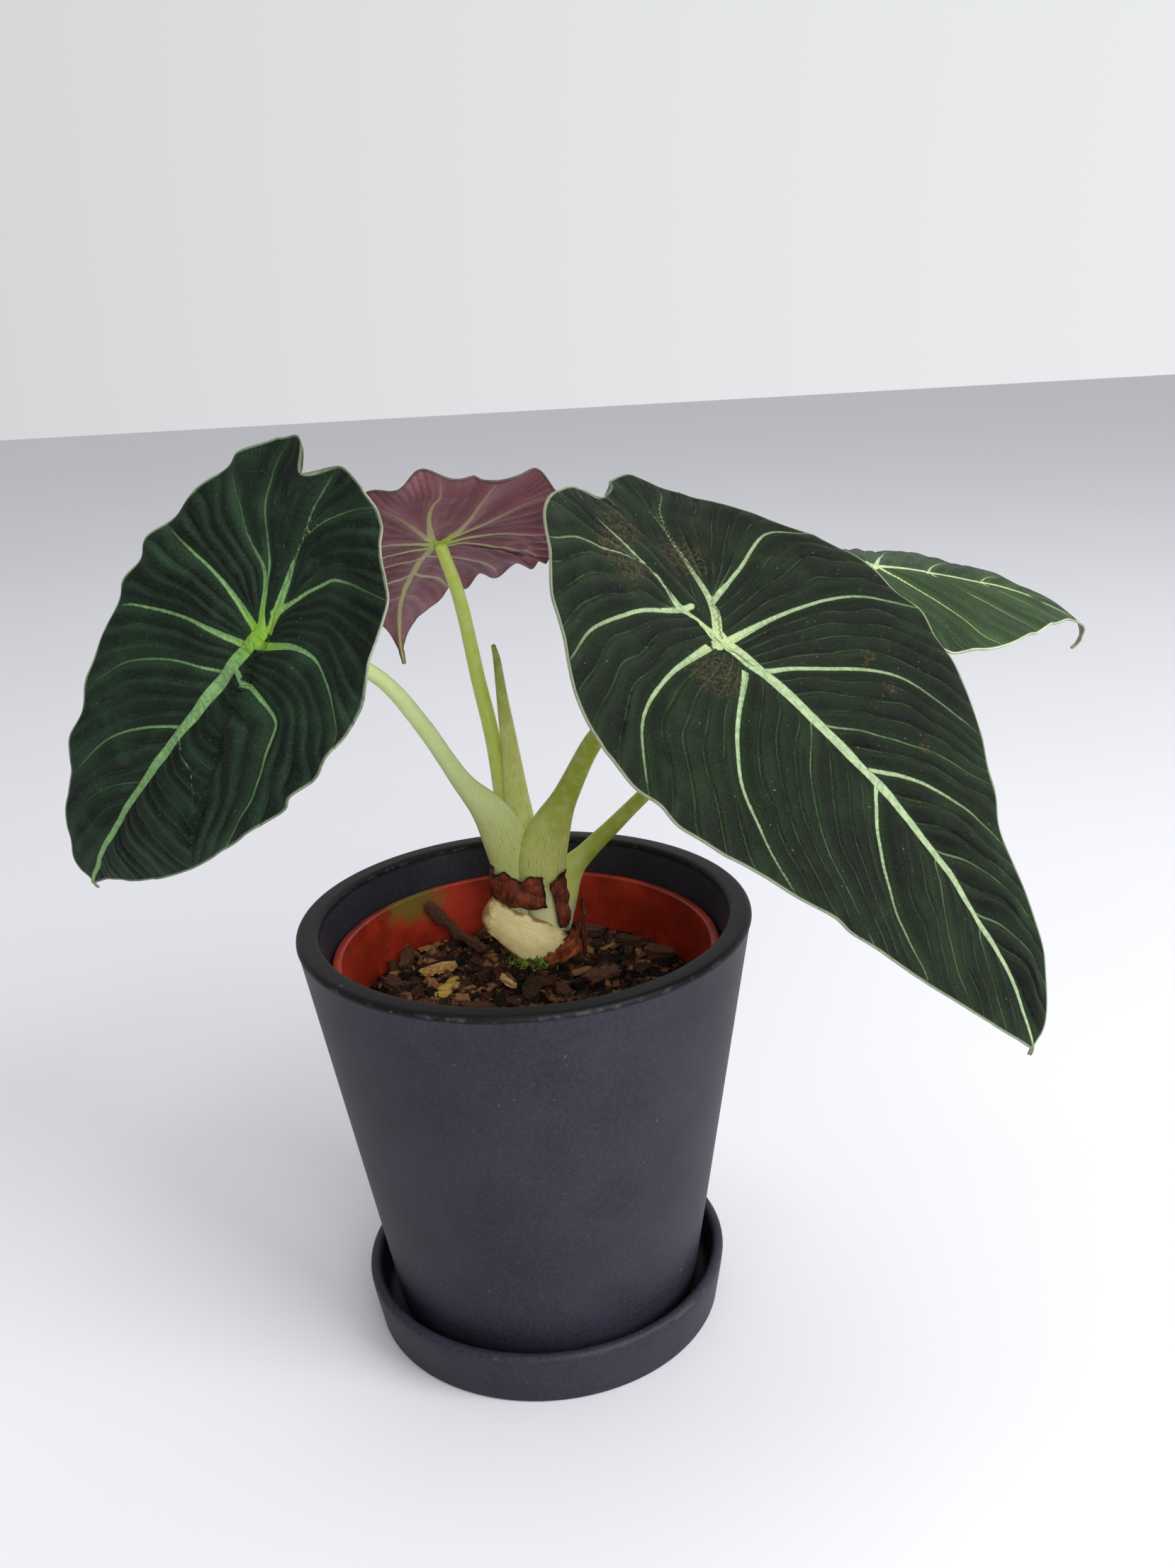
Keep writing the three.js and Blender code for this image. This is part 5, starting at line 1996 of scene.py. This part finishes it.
    def litter(self) -> None:
        """The dry leaf flake and the pale wood."""
        self.lay("pale_chunk", "wood_chunk", 20, self.pale, "pale_wood", 0.9, 0.8)
        self.lay("splinter_1", "wood_splinter_1", 118, self.pale, "pale_wood", 0.8, 0.95)
        self.lay("splinter_2", "wood_splinter_2", 8, self.pale, "pale_wood", 0.8, 0.6)
        low, high = node_box("leaf_flake")
        middle = (low + high) / 2
        piece, u, v = grid("dry_flake", 28, 16)
        along, across = (u - 0.5) * 19, (v - 0.5) * 2
        width = 3.6 * np.sin(np.pi * np.clip(u, 0.03, 0.97)) ** 0.6 * (1 - 0.25 * u)
        y = across * width
        z = 0.5 * (1 - across**2) + 0.35 * np.sin(along * 1.1 + across * 2) + 0.4
        flat = np.column_stack([along, y, z])
        flat[:, 1] += 0.35 * perlin(flat, 2.2, 3)
        spin = Matrix.Rotation(math.radians(66), 3, "Z")
        move_corners(piece, flat @ np.array(spin).T + (middle[0], middle[1], low[2] + 0.4))
        apply_modifier(piece, "SOLIDIFY", thickness=0.5 * MM, offset=0.0)
        tidy_mesh(piece)
        smooth(piece, 50)
        dry = Papery("dry_flake", rgb("d2b04a"), rgb("94752c"), rgb("5e4218"), fibres=12)
        self.register.fit(piece, [dry.material()], "dry_leaf", "leaf_flake")

    def twig(self) -> None:
        """A knobbly twig leaning on the pot's wall."""
        low, high = node_box("twig")
        foot = np.array([high[0] - 1.1, low[1] + 1.1, low[2] + 0.6])
        head = np.array([low[0] + 1.9, high[1] - 2.0, high[2] - 1.2])
        knee = foot + (head - foot) * 0.42 + (0, 0, -1.2)
        neck = foot + (head - foot) * 0.78
        route = [(*foot, 1.2, 1.1), (*knee, 1.9, 1.6), (*neck, 1.7, 1.5), (*head, 2.4, 2.0)]
        piece = rod("twig_stem", route, 20, 14)
        points = corners(piece)
        knobs = perlin(points, 4.2, 11) * 1.5 + ridged(points, 1.6, 4) * 0.9 - 0.35
        move_corners(piece, points + outward(piece) * knobs[:, None])
        store(piece, "tone", np.full((len(points), 3), 0.55))
        self.register.fit(piece, [self.bark], "bark", "twig")


# ---- Studio ----------------------------------------------------------------------------------------------


LIT_PLACE = (0, 0, 0.12)  # metres
LAMPS = (
    ("key", (1.1, -0.8, 1.1), 1.0, 24.0),
    ("front", (0.3, -1.35, 0.75), 0.7, 9.0),
    ("top", (0.1, 0.4, 1.7), 1.3, 5.0),
)


@dataclass
class Studio:
    """Camera, floor and soft light."""

    eye: tuple[float, float, float] = (0.0, -407.4, 314.9)  # mm
    down: float = 18.74  # degrees
    turn: float = 3.02
    roll: float = -3.0
    lens: float = 33.0
    glow_slope: tuple[float, float, float] = (0.24, 0.17, 0.0)
    glow_level: float = 0.6

    def build(self) -> None:
        """Sets the stage."""
        bpy.context.scene.view_settings.view_transform = "Standard"
        self.camera()
        self.floor()
        self.lights()

    def camera(self) -> None:
        """A camera that looks slightly down on the plant."""
        down, turn, roll = (math.radians(a) for a in (self.down, self.turn, self.roll))
        ahead = Vector((math.sin(turn) * math.cos(down), math.cos(turn) * math.cos(down), -math.sin(down)))
        level = Vector((math.cos(turn), -math.sin(turn), 0))
        upright = level.cross(ahead)
        right = level * math.cos(roll) + upright * math.sin(roll)
        up = upright * math.cos(roll) - level * math.sin(roll)
        data = bpy.data.cameras.new("camera")
        data.lens = self.lens
        data.clip_start = 0.01
        eye = bpy.data.objects.new("camera", data)
        facing = Matrix((right, up, -ahead)).transposed().to_4x4()
        eye.matrix_world = Matrix.Translation(Vector(self.eye) * MM) @ facing
        bpy.context.scene.collection.objects.link(eye)
        bpy.context.scene.camera = eye

    def floor(self) -> None:
        """A large pale floor."""
        bare()
        bpy.ops.mesh.primitive_plane_add(size=8.0)
        floor = bpy.context.object
        floor.name = "floor"
        floor.data.materials.append(PaleTable().material())

    def lights(self) -> None:
        """A pale world, brighter at the back and on the right, and three broad lights."""
        world = bpy.data.worlds.new("studio")
        world.use_nodes = True
        bpy.context.scene.world = world
        background = world.node_tree.nodes["Background"]
        background.inputs["Color"].default_value = (0.97, 0.98, 1.0, 1.0)
        nodes = Nodes(world.node_tree)
        facing = nodes.node("ShaderNodeTexCoord", {}, {}, "Generated")
        dot = {0: facing, 1: self.glow_slope}
        glow = nodes.node("ShaderNodeVectorMath", {"operation": "DOT_PRODUCT"}, dot, "Value")
        nodes.tree.links.new((glow + self.glow_level).socket, background.inputs["Strength"])
        for lamp in LAMPS:
            self.lamp(*lamp)

    def lamp(self, name: str, place: tuple[float, float, float], size: float, power: float) -> None:
        """Adds one broad light that faces the plant.

        Args:
            name: Its name.
            place: Its place in metres.
            size: Its side in metres.
            power: Its power in watts.
        """
        data = bpy.data.lights.new(name, "AREA")
        data.size = size
        data.energy = power
        lamp = bpy.data.objects.new(name, data)
        lamp.location = place
        lamp.rotation_mode = "QUATERNION"
        lamp.rotation_quaternion = (Vector(LIT_PLACE) - Vector(place)).to_track_quat("-Z", "Y")
        bpy.context.scene.collection.objects.link(lamp)


def main() -> None:
    """Builds the stage, the pots and the plant in order."""
    logging.basicConfig(level=logging.INFO, format="%(name)s: %(message)s")
    low, high = node_box("rhizome")
    crown = np.array([(low[0] + high[0]) / 2, (low[1] + high[1]) / 2, high[2]])
    register = Register()
    Studio().build()
    Pots(register).build()
    PottingMix(register, crown).build()
    Crown(register, crown).build()
    Stalks(register, crown).build()
    Foliage(register, crown).build()


if __name__ == "__main__":
    main()
